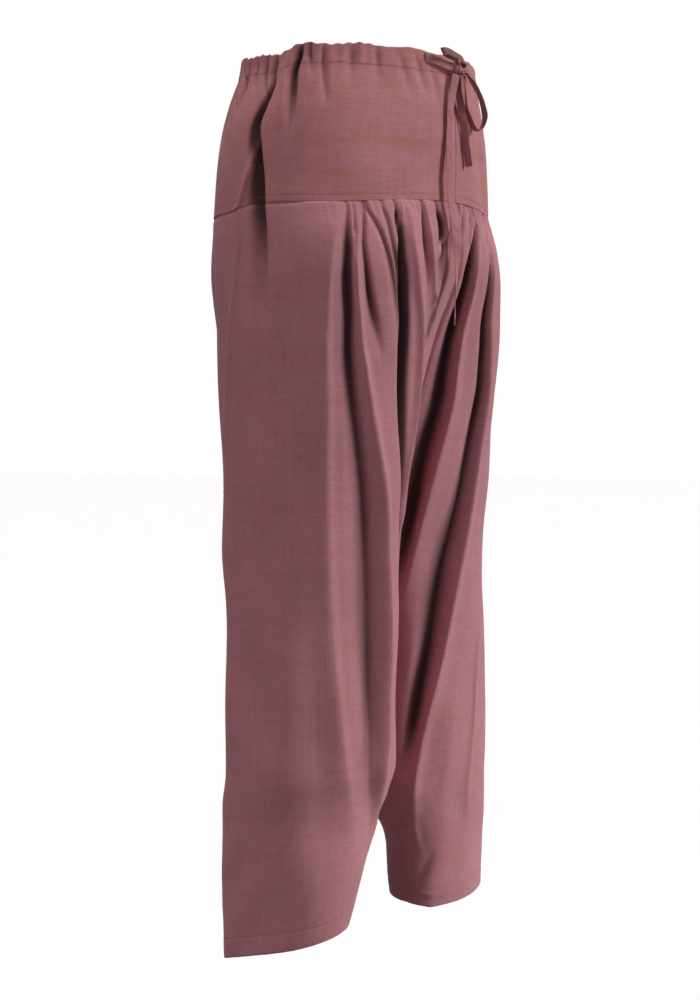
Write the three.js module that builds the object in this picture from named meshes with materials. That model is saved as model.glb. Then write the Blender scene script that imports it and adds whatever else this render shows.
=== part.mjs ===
// Drawstring trousers with a hip yoke and wide, low-crotched legs, filled out as when worn.
// Millimetres, +Z up. The origin is the middle of the waist opening, level with its top edge.
// The front faces -Y, and the wearer's right is -X. Each piece of cloth is a thin wall: a grid of
// outer points worked out from level sections and folds, and the same grid set in by the wall.

import * as THREE from "three";

// Driving sizes
const WALL = 1.4;
const SEAM_GAP = 0.3; // between two pieces at a seam
const YOKE_SEAM_Z = -176;
const CROTCH_Z = -835;
const HEM_Z = -985;
const CASING_DEPTH = 22; // turned down at the waist for the drawstring
const CASING_PROUD = 0.8;
const HEM_DEPTH = 20;
const HEM_PROUD = 0.7;
const HEM_SWING_FROM = -736; // the hem's slope starts this high
const HEM_SWING_OVER = 250;
const TAPE_WIDTH = 9;
const TAPE_THICKNESS = 1.2;

const COLOURS = { yoke: 0x8c5d61, leg: 0x845a62, tape: 0x8a5c62 };

// Level sections of the yoke. Half width is along X and half depth along Y.
const YOKE_SECTIONS = [
  { z: 0, half_width: 160, half_depth: 122, centre_y: -10 },
  { z: -12, half_width: 162, half_depth: 123, centre_y: -10 },
  { z: -25, half_width: 166, half_depth: 125, centre_y: -9 },
  { z: -54, half_width: 177, half_depth: 130, centre_y: -7 },
  { z: -90, half_width: 188, half_depth: 134, centre_y: -5 },
  { z: -130, half_width: 195, half_depth: 136, centre_y: -3 },
  { z: YOKE_SEAM_Z, half_width: 200, half_depth: 137, centre_y: -2 },
];

// Level sections of a leg panel. It starts as half of the hip oval and turns into a loop round the
// leg: share_front and share_back say how much of the way it is there, in front and behind.
const LEG_SECTIONS = [
  { z: YOKE_SEAM_Z, half_width: 200, half_depth: 137, centre_y: -2, share_front: 0, share_back: 0, leg_x: 100, leg_half_width: 100, leg_half_depth: 100, leg_y: -12 },
  { z: -215, half_width: 204, half_depth: 146, centre_y: -7, share_front: 0.06, share_back: 0.02, leg_x: 101, leg_half_width: 101, leg_half_depth: 100, leg_y: -12 },
  { z: -260, half_width: 206, half_depth: 152, centre_y: -10, share_front: 0.18, share_back: 0.07, leg_x: 102, leg_half_width: 102, leg_half_depth: 100, leg_y: -12 },
  { z: -310, half_width: 206, half_depth: 153, centre_y: -12, share_front: 0.34, share_back: 0.14, leg_x: 102, leg_half_width: 102, leg_half_depth: 102, leg_y: -13 },
  { z: -390, half_width: 203, half_depth: 149, centre_y: -12, share_front: 0.5, share_back: 0.28, leg_x: 101, leg_half_width: 101, leg_half_depth: 100, leg_y: -12 },
  { z: -470, half_width: 200, half_depth: 143, centre_y: -10, share_front: 0.62, share_back: 0.45, leg_x: 100, leg_half_width: 100, leg_half_depth: 98, leg_y: -11 },
  { z: -560, half_width: 198, half_depth: 138, centre_y: -6, share_front: 0.72, share_back: 0.62, leg_x: 99, leg_half_width: 99, leg_half_depth: 96, leg_y: -8 },
  { z: -640, half_width: 197, half_depth: 136, centre_y: -5, share_front: 0.8, share_back: 0.76, leg_x: 98.5, leg_half_width: 98.5, leg_half_depth: 95, leg_y: -8 },
  { z: -720, half_width: 198, half_depth: 135, centre_y: -5, share_front: 0.88, share_back: 0.88, leg_x: 99.5, leg_half_width: 99.5, leg_half_depth: 95, leg_y: -9 },
  { z: -800, half_width: 200, half_depth: 134, centre_y: -5, share_front: 0.95, share_back: 0.96, leg_x: 101, leg_half_width: 101, leg_half_depth: 93, leg_y: -10 },
];

// From the crotch down each leg is a closed loop of its own, the wearer's left one turned more
// across the front.
const LOWER_SECTIONS = {
  right: [
    { z: CROTCH_Z, leg_x: 101.5, leg_half_width: 98.5, leg_half_depth: 91, leg_y: -4 },
    { z: -865, leg_x: 109, leg_half_width: 91, leg_half_depth: 87, leg_y: -3 },
    { z: -893, leg_x: 120, leg_half_width: 80, leg_half_depth: 86, leg_y: -5 },
    { z: -925, leg_x: 130, leg_half_width: 70, leg_half_depth: 83, leg_y: -7 },
    { z: HEM_Z, leg_x: 143, leg_half_width: 57, leg_half_depth: 75, leg_y: -7 },
  ],
  left: [
    { z: CROTCH_Z, leg_x: 103, leg_half_width: 97, leg_half_depth: 78, leg_y: -21 },
    { z: -865, leg_x: 112, leg_half_width: 86, leg_half_depth: 66, leg_y: -28 },
    { z: -893, leg_x: 122, leg_half_width: 78, leg_half_depth: 58, leg_y: -31 },
    { z: -925, leg_x: 130, leg_half_width: 72, leg_half_depth: 53, leg_y: -31 },
    { z: HEM_Z, leg_x: 136, leg_half_width: 70, leg_half_depth: 48, leg_y: -30 },
  ],
};

// The hem isn't level: its height at places round the leg, from the inseam round the front.
const HEM_HEIGHTS = {
  right: [
    { round: 0, z: -965 }, { round: 0.15, z: -962 }, { round: 0.25, z: -970 }, { round: 0.4, z: -986 },
    { round: 0.5, z: -995 }, { round: 0.64, z: -1010 }, { round: 0.8, z: -1000 }, { round: 1, z: -975 },
  ],
  left: [
    { round: 0, z: -981 }, { round: 0.1, z: -987 }, { round: 0.2, z: -983 }, { round: 0.34, z: -973 },
    { round: 0.5, z: -976 }, { round: 0.75, z: -980 }, { round: 0.9, z: -977 }, { round: 1, z: -981 },
  ],
};

// Folds. A row is one trough (or a ridge, with a depth below 0). round_top and round_low are its
// places round the piece, 0 at the centre front and 1 at the centre back, at z_top and z_low.
// Its depth goes from depth_top to depth at z_deep, and fades out at z_end. Columns is how many
// columns the grid has from this fold to the next one.
const RIGHT_LEG_FOLDS = [
  { round_top: 0.031, round_low: 0.022, z_low: -240, width_top: 3.2, width_low: 7, depth_top: 3.2, depth: 8, z_deep: -212, z_end: -330, columns: 4 },
  { round_top: 0.058, round_low: 0.046, z_low: -260, width_top: 3.2, width_low: 8, depth_top: 3.2, depth: 11, z_deep: -225, z_end: -370, columns: 4 },
  { round_top: 0.086, round_low: 0.078, z_low: -300, width_top: 3.2, width_low: 9, depth_top: 3.2, depth: 11, z_deep: -235, z_end: -400, columns: 4 },
  { round_top: 0.116, round_low: 0.13, z_low: -300, width_top: 3.2, width_low: 8, depth_top: 3, depth: 7, z_deep: -235, z_end: -380, columns: 4 },
  { round_top: 0.15, round_low: 0.165, z_low: -250, width_top: 3.2, width_low: 7, depth_top: 3, depth: 8, z_deep: -225, z_end: -340, columns: 3 },
  { round_top: 0.188, round_low: 0.183, z_low: -318, width_top: 3.2, width_low: 11, depth_top: 3, depth: 15, z_deep: -290, z_end: -620, columns: 3 },
  { round_top: 0.218, round_low: 0.206, z_low: -318, width_top: 3.2, width_low: 8, depth_top: 3, depth: 9, z_deep: -250, z_end: -400, columns: 3 },
  { round_top: 0.238, round_low: 0.252, z_low: -304, width_top: 3, width_low: 8, depth_top: 2.8, depth: 7, z_deep: -240, z_end: -390, columns: 3 },
  { round_top: 0.258, round_low: 0.295, z_low: -300, width_top: 3, width_low: 8, depth_top: 2.6, depth: 7, z_deep: -235, z_end: -400, columns: 3 },
  { round_top: 0.278, round_low: 0.33, z_low: -290, width_top: 3, width_low: 9, depth_top: 2.2, depth: 4.5, z_deep: -225, z_end: -350, columns: 4 },
];

const LEFT_LEG_FOLDS = [
  { round_top: 0.028, round_low: 0.02, z_low: -240, width_top: 3.2, width_low: 6, depth_top: 3.2, depth: 7, z_deep: -212, z_end: -300, columns: 4 },
  { round_top: 0.057, round_low: 0.05, z_low: -300, width_top: 3.2, width_low: 9, depth_top: 3.2, depth: 10, z_deep: -240, z_end: -420, columns: 4 },
  { round_top: 0.086, round_low: 0.094, z_low: -260, width_top: 3.2, width_low: 7, depth_top: 3.2, depth: 7, z_deep: -225, z_end: -330, columns: 4 },
  { round_top: 0.116, round_low: 0.138, z_low: -340, width_top: 3.2, width_low: 11, depth_top: 3.2, depth: 15, z_deep: -270, z_end: -560, columns: 4 },
  { round_top: 0.145, round_low: 0.165, z_low: -260, width_top: 3.2, width_low: 7, depth_top: 3, depth: 7, z_deep: -225, z_end: -330, columns: 3 },
  { round_top: 0.175, round_low: 0.196, z_low: -330, width_top: 3.2, width_low: 9, depth_top: 3, depth: 11, z_deep: -260, z_end: -470, columns: 3 },
  { round_top: 0.203, round_low: 0.224, z_low: -270, width_top: 3, width_low: 7, depth_top: 2.8, depth: 7, z_deep: -230, z_end: -340, columns: 3 },
  { round_top: 0.231, round_low: 0.256, z_low: -320, width_top: 3, width_low: 9, depth_top: 2.8, depth: 9, z_deep: -245, z_end: -420, columns: 3 },
  { round_top: 0.257, round_low: 0.29, z_low: -290, width_top: 3, width_low: 8, depth_top: 2.6, depth: 6, z_deep: -230, z_end: -360, columns: 3 },
  { round_top: 0.28, round_low: 0.325, z_low: -290, width_top: 3, width_low: 8, depth_top: 2.2, depth: 4.5, z_deep: -225, z_end: -340, columns: 4 },
];

// Behind the pleats both legs have the side fold, which comes down from the yoke, and plain cloth.
const SIDE_FOLDS = [
  { round_top: 0.43, round_low: 0.42, z_low: -400, width_top: 16, width_low: 20, depth_top: 0, depth: 0, z_deep: -250, z_end: -420, columns: 2 },
  { round_top: 0.5, round_low: 0.505, z_low: -400, width_top: 12, width_low: 15, depth_top: 9, depth: 6, z_deep: -260, z_end: -470, columns: 2 },
  { round_top: 0.54, round_low: 0.585, z_low: -400, width_top: 8, width_low: 14, depth_top: -3, depth: -3, z_deep: -300, z_end: -520, columns: 4 },
  { round_top: 0.7, round_low: 0.72, z_low: -400, width_top: 14, width_low: 24, depth_top: 1.5, depth: 5, z_deep: -300, z_end: -560, columns: 3 },
  { round_top: 0.86, round_low: 0.85, z_low: -400, width_top: 14, width_low: 24, depth_top: 1.5, depth: 6, z_deep: -320, z_end: -600, columns: 4 },
];

// The casing gathers the waist from the side round the back; one deep fold runs down each side.
const YOKE_FOLDS = [
  { round_top: 0.09, round_low: 0.09, z_low: -60, width_top: 6, width_low: 10, depth_top: 0.5, depth: 0, z_deep: -40, z_end: -60, columns: 4 },
  { round_top: 0.368, round_low: 0.36, z_low: -60, width_top: 5, width_low: 8, depth_top: 1.5, depth: 2.5, z_deep: -20, z_end: -75, columns: 2 },
  { round_top: 0.396, round_low: 0.39, z_low: -40, width_top: 4, width_low: 6, depth_top: 3, depth: 3, z_deep: -15, z_end: -45, columns: 2 },
  { round_top: 0.436, round_low: 0.417, z_low: -92, width_top: 4.5, width_low: 8, depth_top: 6, depth: 7, z_deep: -30, z_end: -125, columns: 4 },
  { round_top: 0.522, round_low: 0.5, z_low: -60, width_top: 5, width_low: 10, depth_top: 9, depth: 15, z_deep: -70, z_end: -420, columns: 2 },
  { round_top: 0.55, round_low: 0.54, z_low: -176, width_top: 5, width_low: 8, depth_top: -2, depth: -3, z_deep: -90, z_end: -420, columns: 2 },
  { round_top: 0.611, round_low: 0.585, z_low: -70, width_top: 5, width_low: 8, depth_top: 5, depth: 5, z_deep: -25, z_end: -105, columns: 2 },
  { round_top: 0.652, round_low: 0.645, z_low: -60, width_top: 5, width_low: 8, depth_top: 5, depth: 6, z_deep: -25, z_end: -90, columns: 2 },
  { round_top: 0.7, round_low: 0.7, z_low: -90, width_top: 5, width_low: 9, depth_top: 6, depth: 7, z_deep: -30, z_end: -130, columns: 2 },
  { round_top: 0.748, round_low: 0.75, z_low: -70, width_top: 5, width_low: 8, depth_top: 5, depth: 5, z_deep: -25, z_end: -85, columns: 2 },
  { round_top: 0.8, round_low: 0.805, z_low: -90, width_top: 5, width_low: 9, depth_top: 6, depth: 7, z_deep: -30, z_end: -120, columns: 2 },
  { round_top: 0.85, round_low: 0.855, z_low: -70, width_top: 5, width_low: 8, depth_top: 5, depth: 5, z_deep: -25, z_end: -80, columns: 2 },
  { round_top: 0.905, round_low: 0.91, z_low: -90, width_top: 5, width_low: 9, depth_top: 6, depth: 7, z_deep: -30, z_end: -125, columns: 2 },
  { round_top: 0.955, round_low: 0.96, z_low: -60, width_top: 5, width_low: 8, depth_top: 4, depth: 4, z_deep: -25, z_end: -75, columns: 2 },
];

// Levels of the grids' rows
const YOKE_ROWS = [0, -10, CASING_DEPTH * -1, -24, -45, -75, -110, -145, YOKE_SEAM_Z];
const LEG_ROWS = [
  YOKE_SEAM_Z, -188, -203, -222, -245, -272, -305, -345, -400, -470, -550, -640, -720, -780,
  -810, CROTCH_Z, -865, -895, -930, HEM_Z + HEM_DEPTH, HEM_Z + HEM_DEPTH - 1.5, HEM_Z,
];
const PLEAT_PUFF = { height: 3.5, full_at: -225, gone_at: -430, round_from: 0.29, round_to: 0.36 };

// The drawstring's routes. Turn is the direction of the tape's width seen from above: 0 lies along
// X, and a standing tape, with its width up and down, has upright 1.
const KNOT = { x: -1, y: -141.5, z: -15, half_width: 7.7, half_depth: 5.4, half_height: 7.1 };
const TAPE_ROUTES = {
  tape_right: [
    { x: -46.5, y: -129.2, z: -8, turn: 0, upright: 1 },
    { x: -38, y: -133.5, z: -10, turn: 0, upright: 1 },
    { x: -27, y: -137, z: -13, turn: 0, upright: 1 },
    { x: -17, y: -139.5, z: -15.5, turn: 0, upright: 1 },
    { x: -8.8, y: -141, z: -16, turn: 0, upright: 1 },
  ],
  tape_left: [
    { x: 46.5, y: -129.2, z: -8, turn: 0, upright: 1 },
    { x: 38, y: -133.5, z: -9.5, turn: 0, upright: 1 },
    { x: 26, y: -137, z: -12, turn: 0, upright: 1 },
    { x: 15, y: -139.5, z: -14, turn: 0, upright: 1 },
    { x: 6.8, y: -141, z: -15, turn: 0, upright: 1 },
  ],
  bow_loop_upper: [
    { x: -5, y: -146.2, z: -10.5, turn: 10, upright: 0.4 },
    { x: -16, y: -147.5, z: -5, turn: 10, upright: 0.6 },
    { x: -28, y: -145, z: 0, turn: 10, upright: 0.8 },
    { x: -33, y: -141.5, z: 4.5, turn: 10, upright: 0.5 },
    { x: -27, y: -139, z: 9.5, turn: 10, upright: 0.5 },
    { x: -15, y: -140, z: 10.5, turn: 10, upright: 0.7 },
    { x: -3, y: -143, z: 6, turn: 10, upright: 0.8 },
    { x: 3.5, y: -144.5, z: 0, turn: 10, upright: 0.7 },
    { x: 3, y: -144.2, z: -6.5, turn: 10, upright: 0.5 },
  ],
  bow_loop_side: [
    { x: 3, y: -148.4, z: -14, turn: -30, upright: 0.5 },
    { x: 12, y: -151, z: -21, turn: -30, upright: 0.5 },
    { x: 28, y: -154.5, z: -36, turn: 0, upright: 0.5 },
    { x: 44, y: -154.5, z: -52, turn: 20, upright: 0.4 },
    { x: 52, y: -150, z: -66, turn: 60, upright: 0.1 },
    { x: 49, y: -145.5, z: -78, turn: 90, upright: 0 },
    { x: 40, y: -144.5, z: -83, turn: 90, upright: 0 },
    { x: 31, y: -145.5, z: -76, turn: 70, upright: 0 },
    { x: 23, y: -147.5, z: -58, turn: 30, upright: 0.2 },
    { x: 14, y: -150, z: -38, turn: 0, upright: 0.4 },
    { x: 5.5, y: -148, z: -22.5, turn: -20, upright: 0.4 },
  ],
  tail_short: [
    { x: 0, y: -141.5, z: -22.7, turn: -20, upright: 0 },
    { x: 1, y: -142, z: -34, turn: -35, upright: 0 },
    { x: 4.5, y: -143.3, z: -54, turn: -50, upright: 0 },
    { x: 10, y: -143.9, z: -76, turn: -50, upright: 0 },
    { x: 15.5, y: -144.1, z: -98, turn: -45, upright: 0 },
    { x: 21, y: -144.2, z: -122, turn: -45, upright: 0 },
  ],
  tail_long: [
    { x: -5, y: -143, z: -21.2, turn: -30, upright: 0 },
    { x: -9, y: -143.9, z: -35, turn: -45, upright: 0 },
    { x: -13.5, y: -144.1, z: -60, turn: -50, upright: 0 },
    { x: -16, y: -144.3, z: -90, turn: -50, upright: 0 },
    { x: -17, y: -144.4, z: -120, turn: -50, upright: 0 },
    { x: -17.5, y: -145.2, z: -150, turn: -50, upright: 0 },
    { x: -19, y: -149, z: -176, turn: -50, upright: 0 },
    { x: -22, y: -154, z: -200, turn: -45, upright: 0 },
    { x: -24.5, y: -156.5, z: -224, turn: -30, upright: 0 },
    { x: -25.5, y: -156.5, z: -248, turn: 20, upright: 0 },
    { x: -26, y: -155, z: -276, turn: 34, upright: 0 },
    { x: -26, y: -154, z: -304, turn: 34, upright: 0 },
  ],
};
const TAPE_STEP = 13;

function ease(x) {
  const c = Math.min(Math.max(x, 0), 1);
  return c * c * (3 - 2 * c);
}

// A smooth curve through a table's rows at height z, with no overshoot, for every column.
function sectionAt(rows, z) {
  const names = Object.keys(rows[0]).filter((name) => name !== "z");
  const last = rows.length - 1;
  if (z >= rows[0].z) return rows[0];
  if (z <= rows[last].z) return rows[last];
  const i = rows.findIndex((row) => row.z < z) - 1;
  const slope = (k, name) => (rows[k + 1][name] - rows[k][name]) / (rows[k + 1].z - rows[k].z);
  const tangent = (k, name) => {
    if (k === 0) return slope(0, name);
    if (k === last) return slope(last - 1, name);
    const before = slope(k - 1, name);
    const after = slope(k, name);
    return before * after > 0 ? (2 * before * after) / (before + after) : 0;
  };
  const span = rows[i + 1].z - rows[i].z;
  const s = (z - rows[i].z) / span;
  const values = {};
  for (const name of names) {
    values[name] =
      rows[i][name] * (1 + 2 * s) * (1 - s) ** 2 +
      rows[i + 1][name] * s * s * (3 - 2 * s) +
      span * (tangent(i, name) * s * (1 - s) ** 2 - tangent(i + 1, name) * s * s * (1 - s));
  }
  return values;
}

// The straight line between a table's rows at a place round the leg.
function hemHeight(rows, round) {
  const i = Math.max(rows.findIndex((row) => row.round >= round), 1);
  const before = rows[i - 1];
  const after = rows[i];
  return before.z + ((after.z - before.z) * (round - before.round)) / (after.round - before.round);
}

// Half of the hip oval, from the centre front (0) round the side to the centre back (1).
function hipPoint(round, s) {
  const angle = (round - 0.5) * Math.PI;
  return [s.half_width * Math.cos(angle), s.centre_y + s.half_depth * Math.sin(angle)];
}

// The loop round a leg, from the inseam (0) round the front and the side back to the inseam (1).
function loopPoint(round, s) {
  const angle = (2 * round - 1) * Math.PI;
  return [s.leg_x + s.leg_half_width * Math.cos(angle), s.leg_y + s.leg_half_depth * Math.sin(angle)];
}

function legSections(side) {
  const above = LEG_SECTIONS[LEG_SECTIONS.length - 1];
  const lower = LOWER_SECTIONS[side].map((row) => ({ ...above, share_front: 1, share_back: 1, ...row }));
  return [...LEG_SECTIONS, ...lower];
}

function legPoint(round, s) {
  const share = s.share_front + (s.share_back - s.share_front) * ease((round - 0.3) / 0.4);
  const hip = hipPoint(round, s);
  const loop = loopPoint(round, s);
  return [hip[0] + (loop[0] - hip[0]) * share, hip[1] + (loop[1] - hip[1]) * share];
}

// A fold's place round the piece at height z.
function foldPlace(fold, z, zTop) {
  const along = ease((zTop - z) / (zTop - fold.z_low));
  return fold.round_top + (fold.round_low - fold.round_top) * along;
}

// How far the folds set the cloth in at a place, for cloth that measures `length` round.
function foldDepth(folds, round, z, zTop, length) {
  let depth = 0;
  for (const fold of folds) {
    const down = ease((zTop - z) / (zTop - fold.z_deep));
    const fade = ease((z - fold.z_end) / (fold.z_deep - fold.z_end));
    const width = fold.width_top + (fold.width_low - fold.width_top) * ease((zTop - z) / (zTop - fold.z_low));
    const away = (Math.abs(round - foldPlace(fold, z, zTop)) * length) / width;
    depth += (fold.depth_top + (fold.depth - fold.depth_top) * down) * fade * Math.exp(-(away ** 1.5));
  }
  return depth;
}

// The columns of a grid at height z: each fold has a column along its line, and evenly spaced
// columns lie between it and the next one.
function columnsAt(folds, z, zTop, firstColumns) {
  const lines = [{ place: 0, columns: firstColumns }];
  for (const fold of folds) lines.push({ place: foldPlace(fold, z, zTop), columns: fold.columns });
  lines.push({ place: 1, columns: 0 });
  const places = [];
  for (let i = 0; i + 1 < lines.length; i++) {
    const step = (lines[i + 1].place - lines[i].place) / lines[i].columns;
    for (let k = 0; k < lines[i].columns; k++) places.push(lines[i].place + step * k);
  }
  places.push(1);
  return places;
}

// Moves each point of a level row along the row's outward normal by its own distance.
function moveOut(row, distances, outward) {
  return row.map(([x, y, z], i) => {
    const before = row[Math.max(i - 1, 0)];
    const after = row[Math.min(i + 1, row.length - 1)];
    const nx = after[1] - before[1];
    const ny = before[0] - after[0];
    const size = Math.hypot(nx, ny) || 1;
    return [x + (nx / size) * distances[i] * outward, y + (ny / size) * distances[i] * outward, z];
  });
}

// Keeps each point on its own side of the middle plane.
function keepOff(row, least) {
  return row.map(([x, y, z]) => [Math.max(x, least), y, z]);
}

// A wall as a closed mesh, from two grids of points of the same size. Side is -1 on the wearer's
// right and 1 on the left; the grids are worked out for the left.
function wallMesh(name, outer, inner, side, colour) {
  const rows = outer.length;
  const columns = outer[0].length;
  const positions = [];
  for (const grid of [outer, inner]) {
    for (const row of grid) for (const [x, y, z] of row) positions.push(x * side, y, z);
  }
  const at = (layer, i, j) => (layer * rows + i) * columns + j;
  const indices = [];
  const quad = (a, b, c, d) => indices.push(...(side > 0 ? [a, b, c, a, c, d] : [a, c, b, a, d, c]));
  for (let i = 0; i + 1 < rows; i++) {
    for (let j = 0; j + 1 < columns; j++) {
      quad(at(0, i, j), at(0, i + 1, j), at(0, i + 1, j + 1), at(0, i, j + 1));
      quad(at(1, i, j), at(1, i, j + 1), at(1, i + 1, j + 1), at(1, i + 1, j));
    }
  }
  for (let j = 0; j + 1 < columns; j++) {
    quad(at(0, 0, j), at(0, 0, j + 1), at(1, 0, j + 1), at(1, 0, j));
    quad(at(0, rows - 1, j + 1), at(0, rows - 1, j), at(1, rows - 1, j), at(1, rows - 1, j + 1));
  }
  for (let i = 0; i + 1 < rows; i++) {
    quad(at(0, i + 1, 0), at(0, i, 0), at(1, i, 0), at(1, i + 1, 0));
    quad(at(0, i, columns - 1), at(0, i + 1, columns - 1), at(1, i + 1, columns - 1), at(1, i, columns - 1));
  }
  return meshOf(name, positions, indices, colour);
}

function meshOf(name, positions, indices, colour) {
  const geometry = new THREE.BufferGeometry();
  geometry.setAttribute("position", new THREE.Float32BufferAttribute(positions, 3));
  geometry.setIndex(indices);
  geometry.computeVertexNormals();
  const material = new THREE.MeshStandardMaterial({ color: colour, roughness: 0.85, metalness: 0 });
  const mesh = new THREE.Mesh(geometry, material);
  mesh.name = name;
  return mesh;
}

function wallFrom(name, rows, side, colour) {
  const least = SEAM_GAP / 2;
  const outer = [];
  const inner = [];
  for (const { points, moves } of rows) {
    const skin = keepOff(moveOut(points, moves, 1), least);
    outer.push(skin);
    inner.push(keepOff(moveOut(skin, skin.map(() => WALL), -1), least));
  }
  return wallMesh(name, outer, inner, side, colour);
}

function lengthOf(points) {
  let sum = 0;
  for (let i = 1; i < points.length; i++) {
    sum += Math.hypot(points[i][0] - points[i - 1][0], points[i][1] - points[i - 1][1]);
  }
  return sum;
}

// Folds die out at a panel's seams with its neighbour, so that the two edges still meet.
function edgeFade(round, width) {
  return ease(round / width) * ease((1 - round) / width);
}

function makeYoke(side) {
  const rows = YOKE_ROWS.map((z) => {
    const section = sectionAt(YOKE_SECTIONS, z);
    const places = columnsAt(YOKE_FOLDS, z, 0, 3);
    const level = z === YOKE_SEAM_Z ? z + SEAM_GAP / 2 : z;
    const points = places.map((round) => [...hipPoint(round, section), level]);
    const length = lengthOf(points);
    const casing = z >= -CASING_DEPTH ? CASING_PROUD : 0;
    const moves = places.map(
      (round) => casing - foldDepth(YOKE_FOLDS, round, z, 0, length) * edgeFade(round, 0.03),
    );
    return { points, moves };
  });
  return wallFrom(side < 0 ? "yoke_right" : "yoke_left", rows, side, COLOURS.yoke);
}

function makeLeg(side) {
  const hand = side < 0 ? "right" : "left";
  const folds = [...(side < 0 ? RIGHT_LEG_FOLDS : LEFT_LEG_FOLDS), ...SIDE_FOLDS];
  const sections = legSections(hand);
  const rows = LEG_ROWS.map((z) => {
    const section = sectionAt(sections, z);
    const places = columnsAt(folds, z, YOKE_SEAM_Z, 2);
    const swing = ease((HEM_SWING_FROM - z) / HEM_SWING_OVER);
    const top = z === YOKE_SEAM_Z ? SEAM_GAP / 2 : 0;
    const parting = SEAM_GAP / 2 / 390;
    const points = places.map((round) => {
      const place = parting + round * (1 - 2 * parting);
      const level = z - top + (hemHeight(HEM_HEIGHTS[hand], round) - HEM_Z) * swing;
      return [...legPoint(place, section), level];
    });
    const length = lengthOf(points);
    const hem = z <= HEM_Z + HEM_DEPTH - 1 ? HEM_PROUD : 0;
    const puff = PLEAT_PUFF.height * ease((YOKE_SEAM_Z - z) / (YOKE_SEAM_Z - PLEAT_PUFF.full_at)) *
      ease((z - PLEAT_PUFF.gone_at) / (PLEAT_PUFF.full_at - PLEAT_PUFF.gone_at));
    const moves = places.map((round) => {
      const pleated = 1 - ease((round - PLEAT_PUFF.round_from) / (PLEAT_PUFF.round_to - PLEAT_PUFF.round_from));
      const depth = foldDepth(folds, round, z, YOKE_SEAM_Z, length);
      return hem + (puff * pleated - depth) * edgeFade(round, 0.018);
    });
    return { points, moves };
  });
  return wallFrom("leg_" + hand, rows, side, COLOURS.leg);
}

// A flat tape along a route: eight points round its section at each step.
function makeTape(name, route) {
  const curve = new THREE.CatmullRomCurve3(route.map((p) => new THREE.Vector3(p.x, p.y, p.z)), false, "centripetal");
  const steps = Math.max(Math.round(curve.getLength() / TAPE_STEP), 6) * 2;
  const positions = [];
  const halfWidth = TAPE_WIDTH / 2;
  const halfThick = TAPE_THICKNESS / 2;
  const round = 0.35;
  const profile = [
    [halfWidth, -halfThick * round], [halfWidth, halfThick * round], [halfWidth - round, halfThick],
    [round - halfWidth, halfThick], [-halfWidth, halfThick * round], [-halfWidth, -halfThick * round],
    [round - halfWidth, -halfThick], [halfWidth - round, -halfThick],
  ];
  const lengths = curve.getLengths(400);
  for (let i = 0; i <= steps; i++) {
    const t = curve.getUtoTmapping(i / steps);
    const middle = curve.getPoint(t);
    const along = curve.getTangent(t).normalize();
    const place = t * (route.length - 1);
    const k = Math.min(Math.floor(place), route.length - 2);
    const share = place - k;
    const turn = THREE.MathUtils.degToRad(route[k].turn + (route[k + 1].turn - route[k].turn) * share);
    const upright = route[k].upright + (route[k + 1].upright - route[k].upright) * share;
    const across = new THREE.Vector3(Math.cos(turn) * (1 - upright), Math.sin(turn) * (1 - upright), upright);
    across.addScaledVector(along, -across.dot(along)).normalize();
    const face = new THREE.Vector3().crossVectors(along, across);
    for (const [w, d] of profile) {
      const point = middle.clone().addScaledVector(across, w).addScaledVector(face, d);
      positions.push(point.x, point.y, point.z);
    }
  }
  const sides = profile.length;
  const indices = [];
  for (let i = 0; i < steps; i++) {
    for (let j = 0; j < sides; j++) {
      const a = i * sides + j;
      const b = i * sides + ((j + 1) % sides);
      indices.push(a, b, b + sides, a, b + sides, a + sides);
    }
  }
  const end = steps * sides;
  for (let j = 1; j + 1 < sides; j++) {
    indices.push(0, j + 1, j);
    indices.push(end, end + j, end + j + 1);
  }
  return meshOf(name, positions, indices, COLOURS.tape);
}

// The knot is a small flattened ball with the tape's wrap standing round its middle.
function makeKnot() {
  const geometry = new THREE.SphereGeometry(1, 16, 10);
  const mesh = new THREE.Mesh(geometry, new THREE.MeshStandardMaterial({ color: COLOURS.tape, roughness: 0.85 }));
  mesh.name = "bow_knot";
  mesh.scale.set(KNOT.half_width, KNOT.half_depth, KNOT.half_height);
  mesh.position.set(KNOT.x, KNOT.y, KNOT.z);
  return mesh;
}

const trousers = new THREE.Group();
for (const side of [-1, 1]) {
  trousers.add(makeYoke(side), makeLeg(side));
}
trousers.add(makeKnot());
for (const [name, route] of Object.entries(TAPE_ROUTES)) {
  trousers.add(makeTape(name, route));
}

export default trousers;
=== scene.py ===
# %% [markdown]
# These are drawstring trousers of handloom cotton, filled out as if worn but with nobody in them.
# A smooth yoke goes round the hips, full pleated legs hang from it, and a flat tape ties at the
# centre front in a bow. The CAD model gives the size and the solids, and this script makes the
# cloth, the sewing, the tape and the finish on the same places, in metres.

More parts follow.
